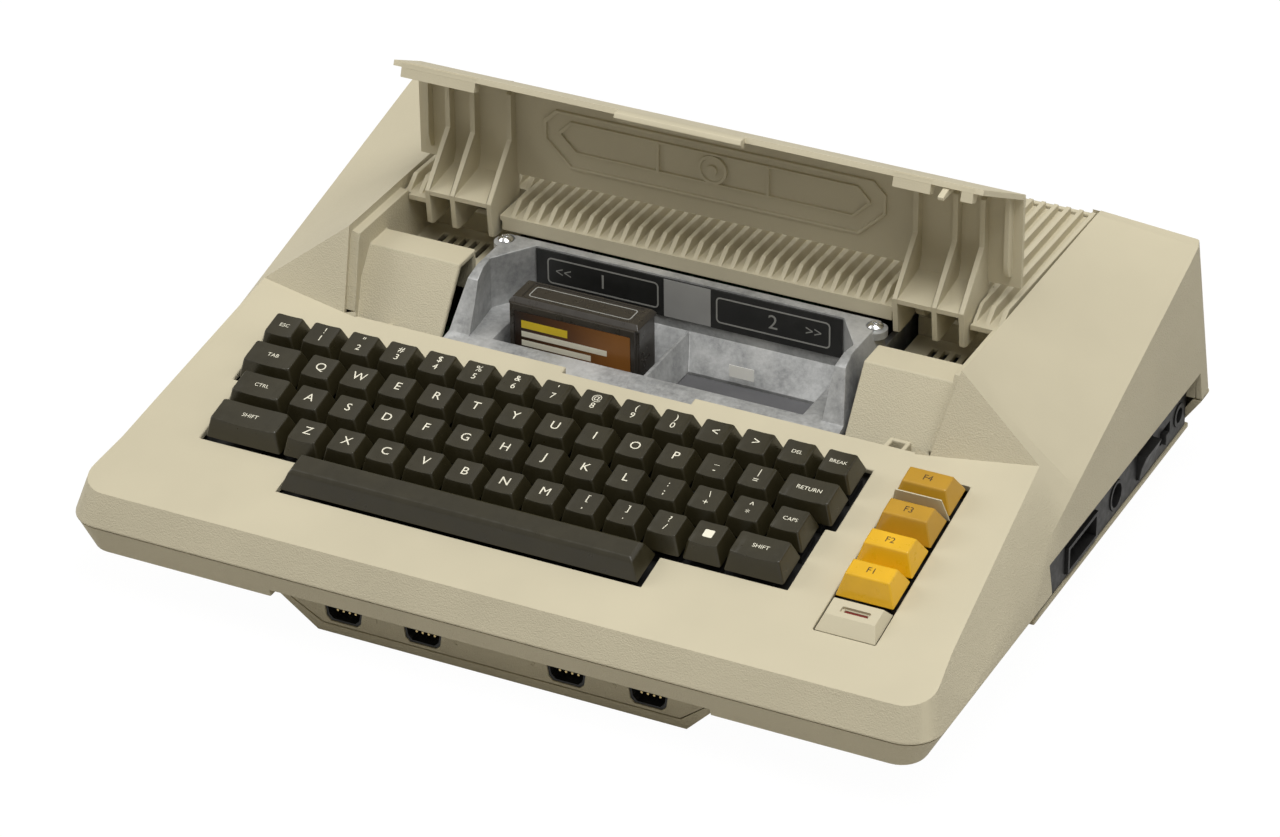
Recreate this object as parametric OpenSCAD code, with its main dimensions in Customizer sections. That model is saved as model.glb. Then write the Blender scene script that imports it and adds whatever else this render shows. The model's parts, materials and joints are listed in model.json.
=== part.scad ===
// Vintage home computer: sloping keyboard deck, cartridge door standing open over a
// cast metal bay, ribbed lift-off cover behind it and four game ports under the lip.
// Millimetres. X to the right, Y to the rear, Z up. Origin on the desk, mid case.
// Every shape is drawn from the front edge of the case (y = 0) and then moved back
// by half the depth.

/* [Case] */
// Overall width, across the seam
body_w = 406.4; // [404:0.1:409]
// Overall depth
body_d = 317.5; // [316:0.1:319]
// Height of the wings and of the closed door
body_h = 114.3; // [113.5:0.1:115]
// Height of the seam between the two shells
seam_z = 36.4; // [36:0.1:36.8]
// Wall thickness of the moulded shells
wall = 2.6; // [2.4:0.1:2.8]
// Slope of the keyboard deck
deck_tilt = 12.64; // [12.4:0.01:12.9]
// Height of the deck at its front edge
deck_z0 = 51; // [50.5:0.1:51.5]
// Front edge of the deck, behind the case front
deck_y0 = 8.2; // [7.8:0.1:8.6]
// Radius of the front corners in plan
corner_r = 16; // [14:0.5:17]

/* [Door and cover] */
// Hinge line behind the case front
hinge_y = 218.1; // [218:0.1:218.2]
// Height of the hinge line
hinge_z = 105.4; // [105.3:0.1:105.5]
// Radius of the hinge pins
pin_r = 2; // [1.8:0.1:2.2]
// Running clearance round a pin
pin_gap = 0.06; // [0.04:0.01:0.1]
// Thickness of the door's web plates
web_t = 2.4; // [2:0.1:2.8]
// Spacing of the ribs on the cover
rib_pitch = 6; // [5.8:0.1:6.2]
// Thickness of one rib
rib_t = 2.2; // [2:0.1:2.6]
// Gap between the cover or door and the well round it
fit_gap = 0.7; // [0.5:0.1:0.9]

/* [Keyboard] */
// Distance between key centres
pitch = 19.05; // [19:0.01:19.1]
// Left edge of the first key column
grid_x = -165; // [-165.2:0.1:-164.8]
// Slope distance of the shift row from the deck's front edge
row0_s = 52.64; // [52.4:0.01:52.9]
// Height of a key top above the deck
key_top = 11.05; // [10.8:0.05:11.3]
// Height of a key's skirt above the deck
key_foot = 1.2; // [1:0.1:1.4]
// Side of a key's skirt, taken off the pitch
key_gap = 0.95; // [0.9:0.05:1.1]
// Radius of a key's plunger
stem_r = 2.4; // [2.2:0.1:2.6]
// Clearance round a key's plunger
stem_gap = 0.1; // [0.08:0.01:0.15]

/* [Cartridge] */
// Width of a cartridge
cart_w = 63.5; // [63:0.1:64]
// Thickness of a cartridge
cart_t = 20; // [19.5:0.1:20.2]
// Height of its top face over the desk
cart_top = 95.3; // [95:0.1:96]
// Left edge of the cartridge
cart_x = -70; // [-70.3:0.1:-69.8]
// Front face of the cartridge behind the case front
cart_y = 161; // [160.8:0.1:161.2]
// Gap round the cartridge in its slot
cart_gap = 0.6; // [0.5:0.1:0.8]

/* [Hidden] */
$fn = 32;
hw = body_w / 2;
well_x = 147;
kink_y = 159;
lip_x = 141;
lip_y = 141;
rim_y = body_d - 2.5;
plate_z = 108.9;
notch_x0 = 96;
notch_x1 = 131.5;
notch_y = 230.5;
side_floor = 84;
well_back = 226.8;
bay_x = 96;
bay_floor = 76.3;
board_z = 9;
recess_y0 = 128.5;
recess_y1 = body_d - 14.5;
recess_z = 50;
panel_x = hw - 7.7;
screw_x = hw - 43.2;
screw_y = [46, body_d - 27.5];
keel_x = hw - 31.2;
floor_z = 3 + wall;
beige = [0.8, 0.77, 0.67];
beige_dark = [0.72, 0.69, 0.6];
black = [0.13, 0.12, 0.11];
key_col = [0.16, 0.14, 0.12];
metal = [0.66, 0.67, 0.69];
green = [0.15, 0.35, 0.2];

function deck_z(y) = deck_z0 + (y - deck_y0) * tan(deck_tilt);
function edge_x(y) = hw - 0.3 - 7.5 * (y - 34.8) / 274.6;
function edge_z(y) = 36 + 0.2665 * (y - 34.8);
function deck_x(y) = hw - 5.2 - 11 * (y - deck_y0) / 141.8;
// height of the wing's upper skin
function wing_z(x, y) = body_h
  + (edge_z(y) - body_h) * (x - well_x) / (edge_x(y) - well_x);
// slope distance and height over the deck of a key row
function row_s(v) = row0_s + v * pitch;

module place() {
  translate([0, -body_d / 2, 0]) children();
}

// frame lying on the deck: x across, y up the slope, z out of the deck
module on_deck() {
  translate([0, deck_y0, deck_z0]) rotate([deck_tilt, 0, 0]) children();
}

// extrude a [y, z] outline along x
module along_x(x0, x1) {
  translate([x0, 0, 0]) rotate([90, 0, 90]) linear_extrude(x1 - x0) children();
}

module both() {
  children();
  mirror([1, 0, 0]) children();
}

module box(x0, x1, y0, y1, z0, z1) {
  translate([x0, y0, z0]) cube([x1 - x0, y1 - y0, z1 - z0]);
}

// convex solid on a list of corner points
module on_points(p) {
  polyhedron(points = p, faces = [[for (i = [0:len(p) - 1]) i]]);
}

// the same points on both sides of the middle plane
function mirrored(p) = concat(p, [for (q = p) [-q[0], q[1], q[2]]]);

// ---- top shell ----

// nose of the shell, with its rounded corners
module nose(t) {
  hull() {
    for (s = [-1, 1]) {
      translate([s * (hw - corner_r), corner_r, seam_z - 2 * t])
        cylinder(r = corner_r - t, h = 0.6 + 1.6 * t);
      on_deck()
        translate([s * (hw - 17.8), 10.9, -t - 2]) cylinder(r = 13 - 0.8 * t, h = 2);
    }
    // it ends a little inside the deck's own section
    on_points(mirrored([[hw - t - 0.1, 42, seam_z - 2 * t],
      [edge_x(42) - t - 0.1, 42, edge_z(42) - 1.1 * t - 0.1],
      [deck_x(42) - 0.6 * t - 0.1, 42, deck_z(42) - 1.2 * t - 0.1]]));
  }
}

deck_y = [40.5, 60, 82, 105, 128, 150];

// deck and the twisted bevels beside it
module deck_body(t) {
  n = len(deck_y);
  pts = [for (i = [0:n - 1])
    let (y = deck_y[i] + (i == n - 1 ? t : 0), e = edge_x(y) - t, d = deck_x(y) - 0.6 * t,
      za = seam_z - 2 * t, zb = edge_z(y) - 1.1 * t, zc = deck_z(y) - 1.2 * t)
    for (p = [[t - hw, za], [hw - t, za], [e, zb], [d, zc], [-d, zc], [-e, zb]])
    [p[0], y, p[1]]];
  sides = [for (i = [0:n - 2], k = [0:5])
    let (a = 6 * i + k, b = 6 * i + (k + 1) % 6)
    for (f = k > 2 ? [[a, b, a + 6], [b, b + 6, a + 6]] : [[a, b, b + 6], [a, b + 6, a + 6]])
    f];
  m = 6 * n - 6;
  polyhedron(points = pts, faces = concat(sides, [[5, 4, 3, 2, 1, 0]],
    [[m, m + 1, m + 2, m + 3, m + 4, m + 5]]));
}

// the raised corner where deck, wing and well meet
module shoulder(t) {
  a = [lip_x, lip_y, deck_z(lip_y)];
  b = [deck_x(150), 150, deck_z(150)];
  c = [well_x, kink_y, body_h];
  k = t > 0 ? [0.8 * t, 1.2 * t, -1.1 * t] : [0, 0, 0];
  m = t > 0 ? 0 : 0.14;
  hull() {
    on_points([a + m * (a - b) + k, b + [-t, 0.6 * t, -1.2 * t], c + m * (c - b) + k,
      a + m * (a - b) + k - [0, 0, 24], c + m * (c - b) + k - [0, 0, 60],
      [edge_x(150) - t, 150, edge_z(150) - t],
      [edge_x(160.5) - t, 160.5 + t, edge_z(160.5) - t - 0.02],
      [well_x + t, 160.5 + t, wing_z(well_x + t, 160.5) - 1.4 * t - 0.02],
      [hw - t, 160.5 + t, seam_z - 2 * t], [hw - t, 150, seam_z - 2 * t]]);
  }
}

wing_y = [kink_y, 171, 184, 197, 210, 223, 236, 249, 262, 275, 288, 301, 309.5, 314.5,
  body_d];
wing_in = [0, 0, 0, 0, 0, 0, 0, 0, 0, 0, 0, 0, 0.2, 1.6, 5.5];
wing_drop = [0, 0, 0, 0, 0, 0, 0, 0, 0, 0, 0, 0, 0, 0.6, 3.8];

// skin between the straight inner edge and the rising side edge
module wing(t, s) {
  n = len(wing_y);
  pts = [for (i = [0:n - 1])
    let (y = i == n - 1 ? wing_y[i] - t : wing_y[i] + (i == 0 ? t : 0),
      e = edge_x(y) - t - wing_in[i], b = hw - t - wing_in[i],
      w = well_x + t, v = t > 0 ? w : well_x - 4)
    for (p = [[v, seam_z - 2 * t], [b, seam_z - 2 * t],
      [e, wing_z(e, y) - 1.3 * t - wing_drop[i]],
      [w + 0.1, wing_z(w, y) - 1.3 * t - wing_drop[i]],
      [v, wing_z(w, y) - 1.3 * t - wing_drop[i]]])
    [s * p[0], y, p[1]]];
  sides = [for (i = [0:n - 2], k = [0:4])
    let (a = 5 * i + k, b = 5 * i + (k + 1) % 5)
    for (f = [[a, b, b + 5], [a, b + 5, a + 5]]) f];
  all = concat(sides, [[4, 3, 2, 1, 0]],
    [[5 * n - 5, 5 * n - 4, 5 * n - 3, 5 * n - 2, 5 * n - 1]]);
  polyhedron(points = pts, faces = s > 0 ? all
    : [for (f = all) [for (i = [len(f) - 1:-1:0]) f[i]]]);
}

// outline of the closed door's outer face, in [y, z], dropped by d
function door_line(d) = [[lip_y + 1.15 * d, deck_z(lip_y) - 0.2 * d],
  [kink_y + 0.6 * d, body_h - d], [204, body_h - d]];

module well_cut() {
  // pocket for the door
  hull() {
    on_points(mirrored([[lip_x + 0.1, lip_y, deck_z(lip_y) - 8],
      [lip_x + 0.1, lip_y, body_h + 20],
      [well_x, kink_y, body_h + 20], [well_x, kink_y, deck_z(lip_y) - 8],
      [well_x, kink_y + 2, body_h + 20], [well_x, kink_y + 2, deck_z(lip_y) - 8]]));
  }
  box(-well_x, well_x, kink_y + 1, rim_y, 30, body_h + 20);
}

// plan of the well inside its ledge, widened by d
module well_plan(d) {
  linear_extrude(140) both() polygon([[-1, 138], [136.8 + d, 138], [136.8 + d, 141.6],
    [142.8 + d, 159.6], [142.8 + d, rim_y + 3], [-1, rim_y + 3]]);
}

module ledge() {
  a = door_line(3.8);
  b = door_line(6.4);
  difference() {
    along_x(-well_x - 1.5, well_x + 1.5) {
      polygon([a[0], a[1], [206, body_h - 3.8], [206, body_h - 6.4], b[1], b[0]]);
      polygon([[204, plate_z - 5.3], [204, body_h - 3.8], [206, body_h - 3.8],
        [206, plate_z - 2.9], [rim_y + 1, plate_z - 2.9], [rim_y + 1, plate_z - 5.3]]);
    }
    well_plan(0);
  }
  difference() {
    intersection() {
      well_plan(2.4);
      along_x(-200, 200) {
        polygon([b[0] + [0.5, -12], a[0], a[1], [206, body_h - 3.8], [206, plate_z - 2.9],
          [rim_y + 1, plate_z - 2.9], [rim_y + 1, 55], [kink_y, 55]]);
      }
    }
    well_plan(0);
  }
}

module shelves() {
  difference() {
    union() {
      intersection() {
        both() along_x(bay_x + 1.6, well_x) {
          polygon([[142.6, 64.6], [169.3, 101.3], [184.3, 101.3], [184.3, side_floor],
            [well_back, side_floor], [well_back, 93.6], [notch_y + 2, 93.6],
            [notch_y + 2, 91.2], [well_back + 2.4, 91.2],
            [well_back + 2.4, side_floor - 2.4], [181.9, side_floor - 2.4],
            [181.9, 98.7], [170.6, 98.7], [145.8, 64.6]]);
        }
        well_plan(0.1);
      }
      // small stop at the foot of the left shelf
      along_x(-123, -120.6) {
        polygon([[142.8, 64.8], [143.6, 78.2], [150, 75.2]]);
      }
      // socket of the door interlock
      box(118.8, 128.8, 141.5, 150, 62, 79.5);
    }
    box(120.9, 126.7, 142.1, 148, 60, 82);
  }
}

module key_windows() {
  on_deck() {
    translate([0, 0, -8]) {
      linear_extrude(20) {
        polygon([[grid_x - 2.2, row_s(1.5)], [grid_x + 2.4, row_s(1.5)],
          [grid_x + 2.4, row_s(-0.5)], [-114.4, row_s(-0.5)], [-114.4, row_s(-1.5)],
          [59.5, row_s(-1.5)], [59.5, row_s(-0.5)], [117.4, row_s(-0.5)],
          [117.4, row_s(1.5)], [122, row_s(1.5)], [122, row_s(3.5) + 0.8],
          [grid_x - 2.2, row_s(3.5) + 0.8]]);
      }
    }
    translate([136.4, 25.9, -8]) cube([28.2, 98.5, 20]);
  }
}

module top_case() {
  color(beige) place() {
    difference() {
      union() {
        difference() {
          union() {
            nose(0);
            deck_body(0);
            both() shoulder(0);
            wing(0, 1);
            wing(0, -1);
            box(-well_x - 1, well_x + 1, rim_y, body_d, seam_z, 110);
          }
          nose(wall);
          deck_body(wall);
          both() {
            shoulder(wall);
            box(well_x + wall, hw - 18.2, 155, 166, seam_z - 6, 62);
            box(well_x + wall, hw - 5.2, 145, 166, seam_z - 6, 52);
            box(150, hw - 17.2, 140, 166, seam_z - 6, 74);
          }
          wing(wall, 1);
          wing(wall, -1);
          box(-well_x + 1, well_x - 1, 140, rim_y, seam_z - 6, 62);
          well_cut();
        }
        ledge();
        shelves();
        // roof and ends of the connector recess
        box(panel_x - 7.5, edge_x(200) - 0.4, recess_y0 - 2.4, recess_y1 + 2.4, recess_z,
          recess_z + 2.4);
        box(panel_x - 7.5, hw - 1.6, recess_y0 - 2.4, recess_y0, seam_z, recess_z + 1);
        box(panel_x - 7.5, hw - 3.6, recess_y1, recess_y1 + 2.4, seam_z, recess_z + 1);
      }
      key_windows();
      // finger recess in the middle of the deck's rear edge
      translate([0, 0, -0.6]) on_deck() {
        translate([-31, row_s(3.5) + 7.6, 0.6]) cube([62, 14, 20]);
        translate([-31, row_s(3.5) + 13, -8]) cube([62, 14, 20]);
      }
      // window of the connector recess
      box(panel_x - 3.5, hw + 5, recess_y0, recess_y1, 20, recess_z);
      // slots in the floor of the side wells
      both() {
        for (i = [0:4]) {
          translate([108.6 + i * 5.35, 205, side_floor - 4]) cube([2.7, 14, 6]);
        }
      }
    }
  }
}

// ---- bottom shell ----

module tub(t) {
  hull() {
    for (s = [-1, 1]) {
      translate([s * (hw - corner_r), corner_r, seam_z - 0.8 + t])
        cylinder(r = corner_r - 0.5 - t, h = 0.02);
      translate([s * (hw - 19), 16, 22 + 0.6 * t]) cylinder(r = 11 - t, h = 0.02);
      translate([s * (hw - 6.5), body_d - 6, seam_z - 0.8 + t])
        cylinder(r = 6 - t, h = 0.02);
      translate([s * (hw - 16), body_d - 12, 22 + 0.6 * t])
        cylinder(r = 6 - t, h = 0.02);
    }
  }
}

module keel(t) {
  hull() {
    on_points(mirrored([[hw - 12 - t, 12 + 2 * t, 22 + 2 * t], [keel_x - t, 36 + t, 3 + t],
      [keel_x - t, body_d - 14 - t, 3 + t], [hw - 14 - t, body_d - 9 - t, 22 + 2 * t]]));
  }
}

// hanging box under the front lip that carries the game ports, as an [x, z] outline
module port_outline(t) {
  polygon([[-126 + 1.7 * t, 27.4 - t], [-90 + 0.8 * t, 0.8 + t], [86 - 0.7 * t, 0.8 + t],
    [112 - 1.4 * t, 27.4 - t]]);
}

module port_box(t) {
  translate([0, 60, 0]) rotate([90, 0, 0]) linear_extrude(40.5 - t) port_outline(t);
}

module port_hole(x, t) {
  w = 19 + t;
  h = 11 + t;
  translate([x, 0, 12.4]) rotate([90, 0, 0]) linear_extrude(80, center = true)
    polygon([[-w / 2, h / 2], [-w / 2 + 1.4, 2 - h / 2], [-w / 2 + 3.4, -h / 2],
      [w / 2 - 3.4, -h / 2], [w / 2 - 1.4, 2 - h / 2], [w / 2, h / 2]]);
}

port_x = [-76.5, -38.2, 30, 68.2];

module bottom_case() {
  color(beige_dark) place() {
    difference() {
      union() {
        difference() {
          union() {
            tub(0);
            keel(0);
            port_box(0);
          }
          translate([0, 0, 4]) tub(wall);
          tub(wall);
          keel(wall);
          port_box(wall);
          // the lip is shallower over the ports
          box(-103, 104, -2, 19.4, 10, 25.6);
        }
        box(-106, 107, 4.6, 22, 25.6, 28);
        // floor of the connector recess
        box(panel_x - 11.5, panel_x + 0.8, recess_y0 - 2, recess_y1 + 2, 19.6, 22);
        // posts the case screws run up through
        for (x = [-screw_x, screw_x], y = screw_y) {
          translate([x, y, 4]) cylinder(r = 5, h = 18);
        }
      }
      box(panel_x - 6, hw + 5, recess_y0, recess_y1, 22, 60);
      // opening for the port panel
      translate([0, 23, 0]) rotate([90, 0, 0]) linear_extrude(12) intersection() {
        port_outline(4);
        translate([-200, 0]) square([400, 23.2]);
      }
      for (x = [-screw_x, screw_x], y = screw_y) {
        translate([x, y, -1]) cylinder(r = 2, h = 30);
        translate([x, y, -1]) cylinder(r = 4, h = 8);
      }
      // vents in the base
      for (i = [-6:6]) {
        box(i * 16 - 3, i * 16 + 3, 236, 272, 1, 8);
      }
    }
  }
}

module port_panel() {
  color(beige_dark) place() {
    difference() {
      translate([0, 22, 0]) rotate([90, 0, 0]) linear_extrude(2.4) intersection() {
        port_outline(4.4);
        translate([-200, 0]) square([400, 22.8]);
      }
      for (x = port_x) port_hole(x, 0.5);
    }
  }
}

module game_ports() {
  color(black) place() {
    for (x = port_x) {
      difference() {
        intersection() {
          port_hole(x, 0.3);
          box(-200, 200, 20.2, 33, 0, 30);
        }
        intersection() {
          port_hole(x, -1.6);
          box(-200, 200, 10, 28, 0, 30);
        }
      }
    }
  }
}

module port_pins() {
  color([0.85, 0.78, 0.5]) place() {
    for (x = port_x, k = [[-2, 14.6], [-1, 14.6], [0, 14.6], [1, 14.6], [2, 14.6],
      [-1.5, 11], [-0.5, 11], [0.5, 11], [1.5, 11]]) {
      translate([x + k[0] * 2.9, 22.4, k[1]]) rotate([-90, 0, 0])
        cylinder(r = 0.55, h = 9, $fn = 12);
    }
  }
}

module feet() {
  color([0.1, 0.1, 0.1]) place() {
    for (x = [-150, 150], y = [62, 270]) {
      translate([x, y, 0]) cylinder(r1 = 7, r2 = 8, h = 3);
    }
  }
}

module case_screws() {
  color(metal) place() {
    for (x = [-screw_x, screw_x], y = screw_y) {
      difference() {
        union() {
          translate([x, y, 4.4]) cylinder(r = 3.4, h = 2.6);
          translate([x, y, 6.9]) cylinder(r = 1.8, h = 22);
        }
        translate([x - 0.4, y - 2, 4]) cube([0.8, 4, 1.6]);
        translate([x - 2, y - 0.4, 4]) cube([4, 0.8, 1.6]);
      }
    }
  }
}

// ---- side connectors ----

module side_plate() {
  color(black) place() {
    difference() {
      box(panel_x - 2, panel_x, recess_y0 + 0.4, recess_y1 - 0.4, 22.2, recess_z - 0.3);
      box(panel_x - 3, panel_x + 1, 161.4, 195.6, 24.2, 38.4);
      translate([panel_x - 3, jack_y, jack_z]) rotate([0, 90, 0]) cylinder(r = 7.2, h = 4);
      box(panel_x - 3, panel_x + 1, 243.7, 262.3, 25, 40);
      box(panel_x - 3, panel_x + 1, 271.5, 283.5, 27.5, 34.5);
      translate([panel_x - 3, power_y, jack_z]) rotate([0, 90, 0]) cylinder(r = 5.7, h = 4);
    }
  }
}

module peripheral_socket() {
  color([0.06, 0.06, 0.06]) place() {
    difference() {
      box(panel_x - 14.5, panel_x + 1.5, 161.8, 195.2, 24.6, 38);
      box(panel_x - 9.5, panel_x + 3, 163.5, 193.5, 26.3, 36.3);
    }
    for (i = [0:6]) {
      box(panel_x - 10, panel_x - 2.5, 166.5 + i * 4, 167.5 + i * 4, 32.6, 33.6);
    }
    for (i = [0:5]) {
      box(panel_x - 10, panel_x - 2.5, 168.5 + i * 4, 169.5 + i * 4, 28.6, 29.6);
    }
  }
}

jack_y = 219;
jack_z = 32;
power_y = 293.5;
rock_y = 253;
rock_x = panel_x - 4.1;

module jack(y, r, bore) {
  translate([0, y, jack_z]) rotate([0, 90, 0]) {
    difference() {
      translate([0, 0, panel_x - 14.5]) cylinder(r = r, h = 15.1);
      translate([0, 0, panel_x - 10.5]) cylinder(r = bore, h = 30);
    }
  }
}

module monitor_jack() {
  color([0.2, 0.2, 0.2]) place() {
    jack(jack_y, 7, 5.6);
    for (a = [-60:30:60]) {
      translate([panel_x - 10.6, jack_y + 3.4 * sin(a), jack_z + 3.4 * cos(a)]) rotate([0, 90, 0])
        cylinder(r = 0.5, h = 8, $fn = 12);
    }
  }
}

module power_jack() {
  color([0.12, 0.12, 0.12]) place() {
    jack(power_y, 5.5, 3.6);
    translate([panel_x - 10.6, power_y, jack_z]) rotate([0, 90, 0]) cylinder(r = 1, h = 9);
  }
}

// rocker as an [x, z] outline round its axle
module power_rocker() {
  color([0.05, 0.05, 0.05]) place() {
    translate([rock_x, rock_y + 9, jack_z]) rotate([90, 0, 0]) linear_extrude(18) {
      difference() {
        union() {
          circle(r = 3.6);
          polygon([[1.2, -6.2], [5.4, -6.6], [6.4, -0.4], [8.6, 6.2], [2.4, 6.6],
            [-1.2, 2]]);
        }
        circle(r = 1.56);
      }
    }
  }
}

module channel_switch() {
  color([0.08, 0.08, 0.08]) place() {
    box(panel_x - 3.6, panel_x - 2.1, 270.5, 281.5, 26.4, 35.6);
    box(panel_x - 2.2, panel_x + 2.6, 272.4, 276.4, 28.4, 33.6);
  }
}

module modulator_box() {
  color(metal) place() {
    difference() {
      box(rock_x - 41.4, rock_x, 266, 287.6, 23.86, 44);
      box(rock_x - 39.4, rock_x - 1.6, 268, 285.6, 25, 42.5);
      box(rock_x - 3.4, rock_x + 1.6, 272, 280, 28, 34);
    }
    // switch body with the axle of the power rocker
    translate([rock_x, rock_y, jack_z]) rotate([90, 0, 0])
      cylinder(r = 1.5, h = 23, center = true);
    for (y = [rock_y - 11, rock_y + 10]) {
      box(rock_x - 15.4, rock_x + 1.8, y, y + 1, 25, 39);
    }
    box(rock_x - 23.4, rock_x - 5.4, rock_y - 11, rock_y + 11, 25, 39);
    box(rock_x - 23.4, rock_x - 21.4, rock_y + 10, 267, 28, 36);
  }
}

// ---- cast bay ----

module bay_outline(z0, z1, k) {
  translate([0, 0, z0]) linear_extrude(z1 - z0)
    polygon([[-85 - k, 148], [-85.5 - k, 160], [-88 - k, 179.8], [-75 - k, 198.6],
      [75 + k, 198.6], [88 + k, 179.8], [85.5 + k, 160], [85 + k, 148]]);
}

module pit(x0, x1) {
  hull() {
    box(x0 + 0.8, x1, 155.5, 198.2, bay_floor, bay_floor + 1);
    box(x0 + 5, x1 - 4, 160.3, 188, 62.5, 63);
  }
}

module bay_casting() {
  color(metal) place() {
    difference() {
      union() {
        intersection() {
          along_x(-bay_x, bay_x) {
            polygon([[142.8, 58], [142.8, 74.6], [153.5, 76.6], [164.5, 98.6],
              [172, 101.5], [203.2, 101.5], [203.2, 58]]);
          }
          rotate([90, 0, 0]) translate([0, 0, -260]) linear_extrude(200)
            polygon([[-bay_x, 50], [-bay_x, 74], [-90.6, 102], [90.6, 102], [bay_x, 74],
              [bay_x, 50]]);
        }
        // ears under the two corner screws
        both() {
          translate([90, 198.4, 97]) cylinder(r = 5.4, h = 3.3);
        }
        // shafts down to the cartridge connectors
        both() {
          box(3.2, 74, 157, 190.6, 26, 62);
        }
        // cage round the memory and processor modules
        difference() {
          box(-92, 92, 198.9, 300, 14, 88);
          box(-89, 89, 203.2, 297, 13, 89);
        }
        box(-92, 92, 198.9, 203.2, 14, 60);
      }
      bay_outline(bay_floor, 110, 0);
      pit(-75.5, -0.8);
      pit(0, 75.5);
      box(cart_x - cart_gap, cart_x + cart_w + cart_gap, cart_y - cart_gap,
        cart_y + cart_t + cart_gap, 20, 80);
      box(5, 71.5, 160.3, 188, 20, 64);
      // pivot holes of the dust flap
      along_x(2, 75) translate([flap_y, flap_z]) circle(r = 1.56);
      both() {
        translate([90, 198.4, 90]) cylinder(r = 1.6, h = 20);
        translate([90, 198.4, 100.3]) cylinder(r = 4.2, h = 5);
      }
      // lightening under the rim
      both() {
        box(78, 93, 146, 196, 50, 72);
      }
      box(-74, 74, 144.6, 155, 50, 72);
    }
  }
}

module bay_label_plate() {
  color([0.1, 0.1, 0.1]) place() {
    box(-74.6, 74.6, 197.7, 198.55, 81.4, 100.6);
  }
}

module bay_screws() {
  color([0.8, 0.8, 0.8]) place() {
    both() {
      difference() {
        union() {
          translate([90, 198.4, 100.3]) cylinder(r = 3.6, h = 1.2);
          translate([90, 198.4, 101.5]) cylinder(r1 = 3.6, r2 = 2.2, h = 1.2);
          translate([90, 198.4, 92]) cylinder(r = 1.5, h = 9);
        }
        translate([89.6, 196.6, 101.6]) cube([0.8, 3.6, 3]);
        translate([88.2, 198, 101.6]) cube([3.6, 0.8, 3]);
      }
    }
  }
}

module cartridge_slots() {
  color([0.12, 0.12, 0.12]) place() {
    for (x = [-38.25, 38.25]) {
      difference() {
        box(x - 27.6, x + 27.6, 166.5, 175.5, board_z + 1.6, 25.5);
        box(x - 25.2, x + 25.2, 169.6, 172.4, 14, 30);
      }
    }
  }
}

flap_y = 186.2;
flap_z = 60.4;

module slot_flap() {
  color([0.28, 0.28, 0.29]) place() {
    box(5.5, 71, 160.9, flap_y, 61.2, 62.2);
    along_x(3.5, 73.7) translate([flap_y, flap_z]) circle(r = 1.5);
  }
}

module cartridge_shell() {
  color([0.15, 0.12, 0.1]) place() {
    difference() {
      union() {
        box(cart_x + 1.2, cart_x + cart_w - 1.2, cart_y, cart_y + cart_t, 16.5, 93.3);
        box(cart_x, cart_x + cart_w, cart_y + 2.6, cart_y + cart_t - 2.6, 27, 93.3);
        hull() {
          box(cart_x, cart_x + cart_w, cart_y + 1.4, cart_y + cart_t, 92, 93.4);
          box(cart_x + 1.4, cart_x + cart_w - 1.4, cart_y + 3.2, cart_y + cart_t - 1.6, 95.2,
            cart_top);
        }
      }
      box(cart_x + 5, cart_x + cart_w - 4.5, cart_y + 4.6, cart_y + cart_t - 2.6, 94.7, 99);
      // space inside and mouth for the edge board
      box(cart_x + 3.5, cart_x + cart_w - 3.5, cart_y + 2.2, cart_y + cart_t - 2.2, 10, 91);
      box(cart_x + 3.2, cart_x + cart_w - 3.2, cart_y - 1, cart_y + 0.5, 34, 90);
    }
  }
}

module cartridge_label() {
  color([0.25, 0.13, 0.06]) place() {
    box(cart_x + 3.4, cart_x + cart_w - 3.4, cart_y + 0.1, cart_y + 0.45, 34.2, 89.8);
  }
}

module cartridge_board() {
  color(green) place() {
    box(cart_x + 8, cart_x + cart_w - 8, cart_y + 9.4, cart_y + 11, 16.8, 86);
    box(cart_x + 18, cart_x + 33, cart_y + 5.6, cart_y + 9.5, 40, 72);
    box(cart_x + 3.6, cart_x + 9.5, cart_y + 8.2, cart_y + 9.5, 30, 70);
    box(cart_x + cart_w - 9.5, cart_x + cart_w - 3.6, cart_y + 8.2, cart_y + 9.5, 30, 70);
  }
}

// ---- boards inside ----

speaker_x = wall + 24.3 - keel_x;

module main_board() {
  color(green) place() {
    difference() {
      box(-screw_x, hw - 55.2, 36.2, body_d - 21.5, board_z, board_z + 1.6);
      for (x = [-screw_x, screw_x], y = screw_y) {
        translate([x, y, board_z - 1]) cylinder(r = 6, h = 4);
      }
      translate([speaker_x, 110, board_z - 1]) cylinder(r = 25.5, h = 4);
    }
    for (x = [-120, 0, 120], y = [70, 150, 230]) {
      translate([x, y, floor_z]) cylinder(r = 3, h = board_z - floor_z + 0.1);
    }
  }
}

module board_chips() {
  color([0.1, 0.1, 0.1]) place() {
    for (x = [-100, -72, -44, -16, 12, 40, 68, 96]) {
      box(x - 8, x + 8, 84, 136, board_z + 1.6, board_z + 6);
    }
    for (x = [110, 125, 140]) {
      translate([x, 170, board_z + 1.6]) cylinder(r = 6, h = 22);
    }
  }
}

module power_board() {
  color(green) place() {
    box(98, 146, 190, 292, 30, 31.6);
    for (y = [200, 225, 250, 275]) {
      translate([114, y, 31.5]) cylinder(r = 8, h = 24);
    }
    box(128, 131, 196, 286, 31.5, 60);
    for (x = [101, 142], y = [194, 288]) {
      translate([x, y, board_z + 1.6]) cylinder(r = 2.4, h = 20 - 0.5);
    }
  }
}

module module_slots() {
  color([0.12, 0.12, 0.12]) place() {
    for (i = [0:3]) {
      difference() {
        box(-62, 62, 217 + i * 20, 225 + i * 20, board_z + 1.6, 24);
        box(-60, 60, 219.8 + i * 20, 222.2 + i * 20, 14, 25);
      }
    }
  }
}

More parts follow.
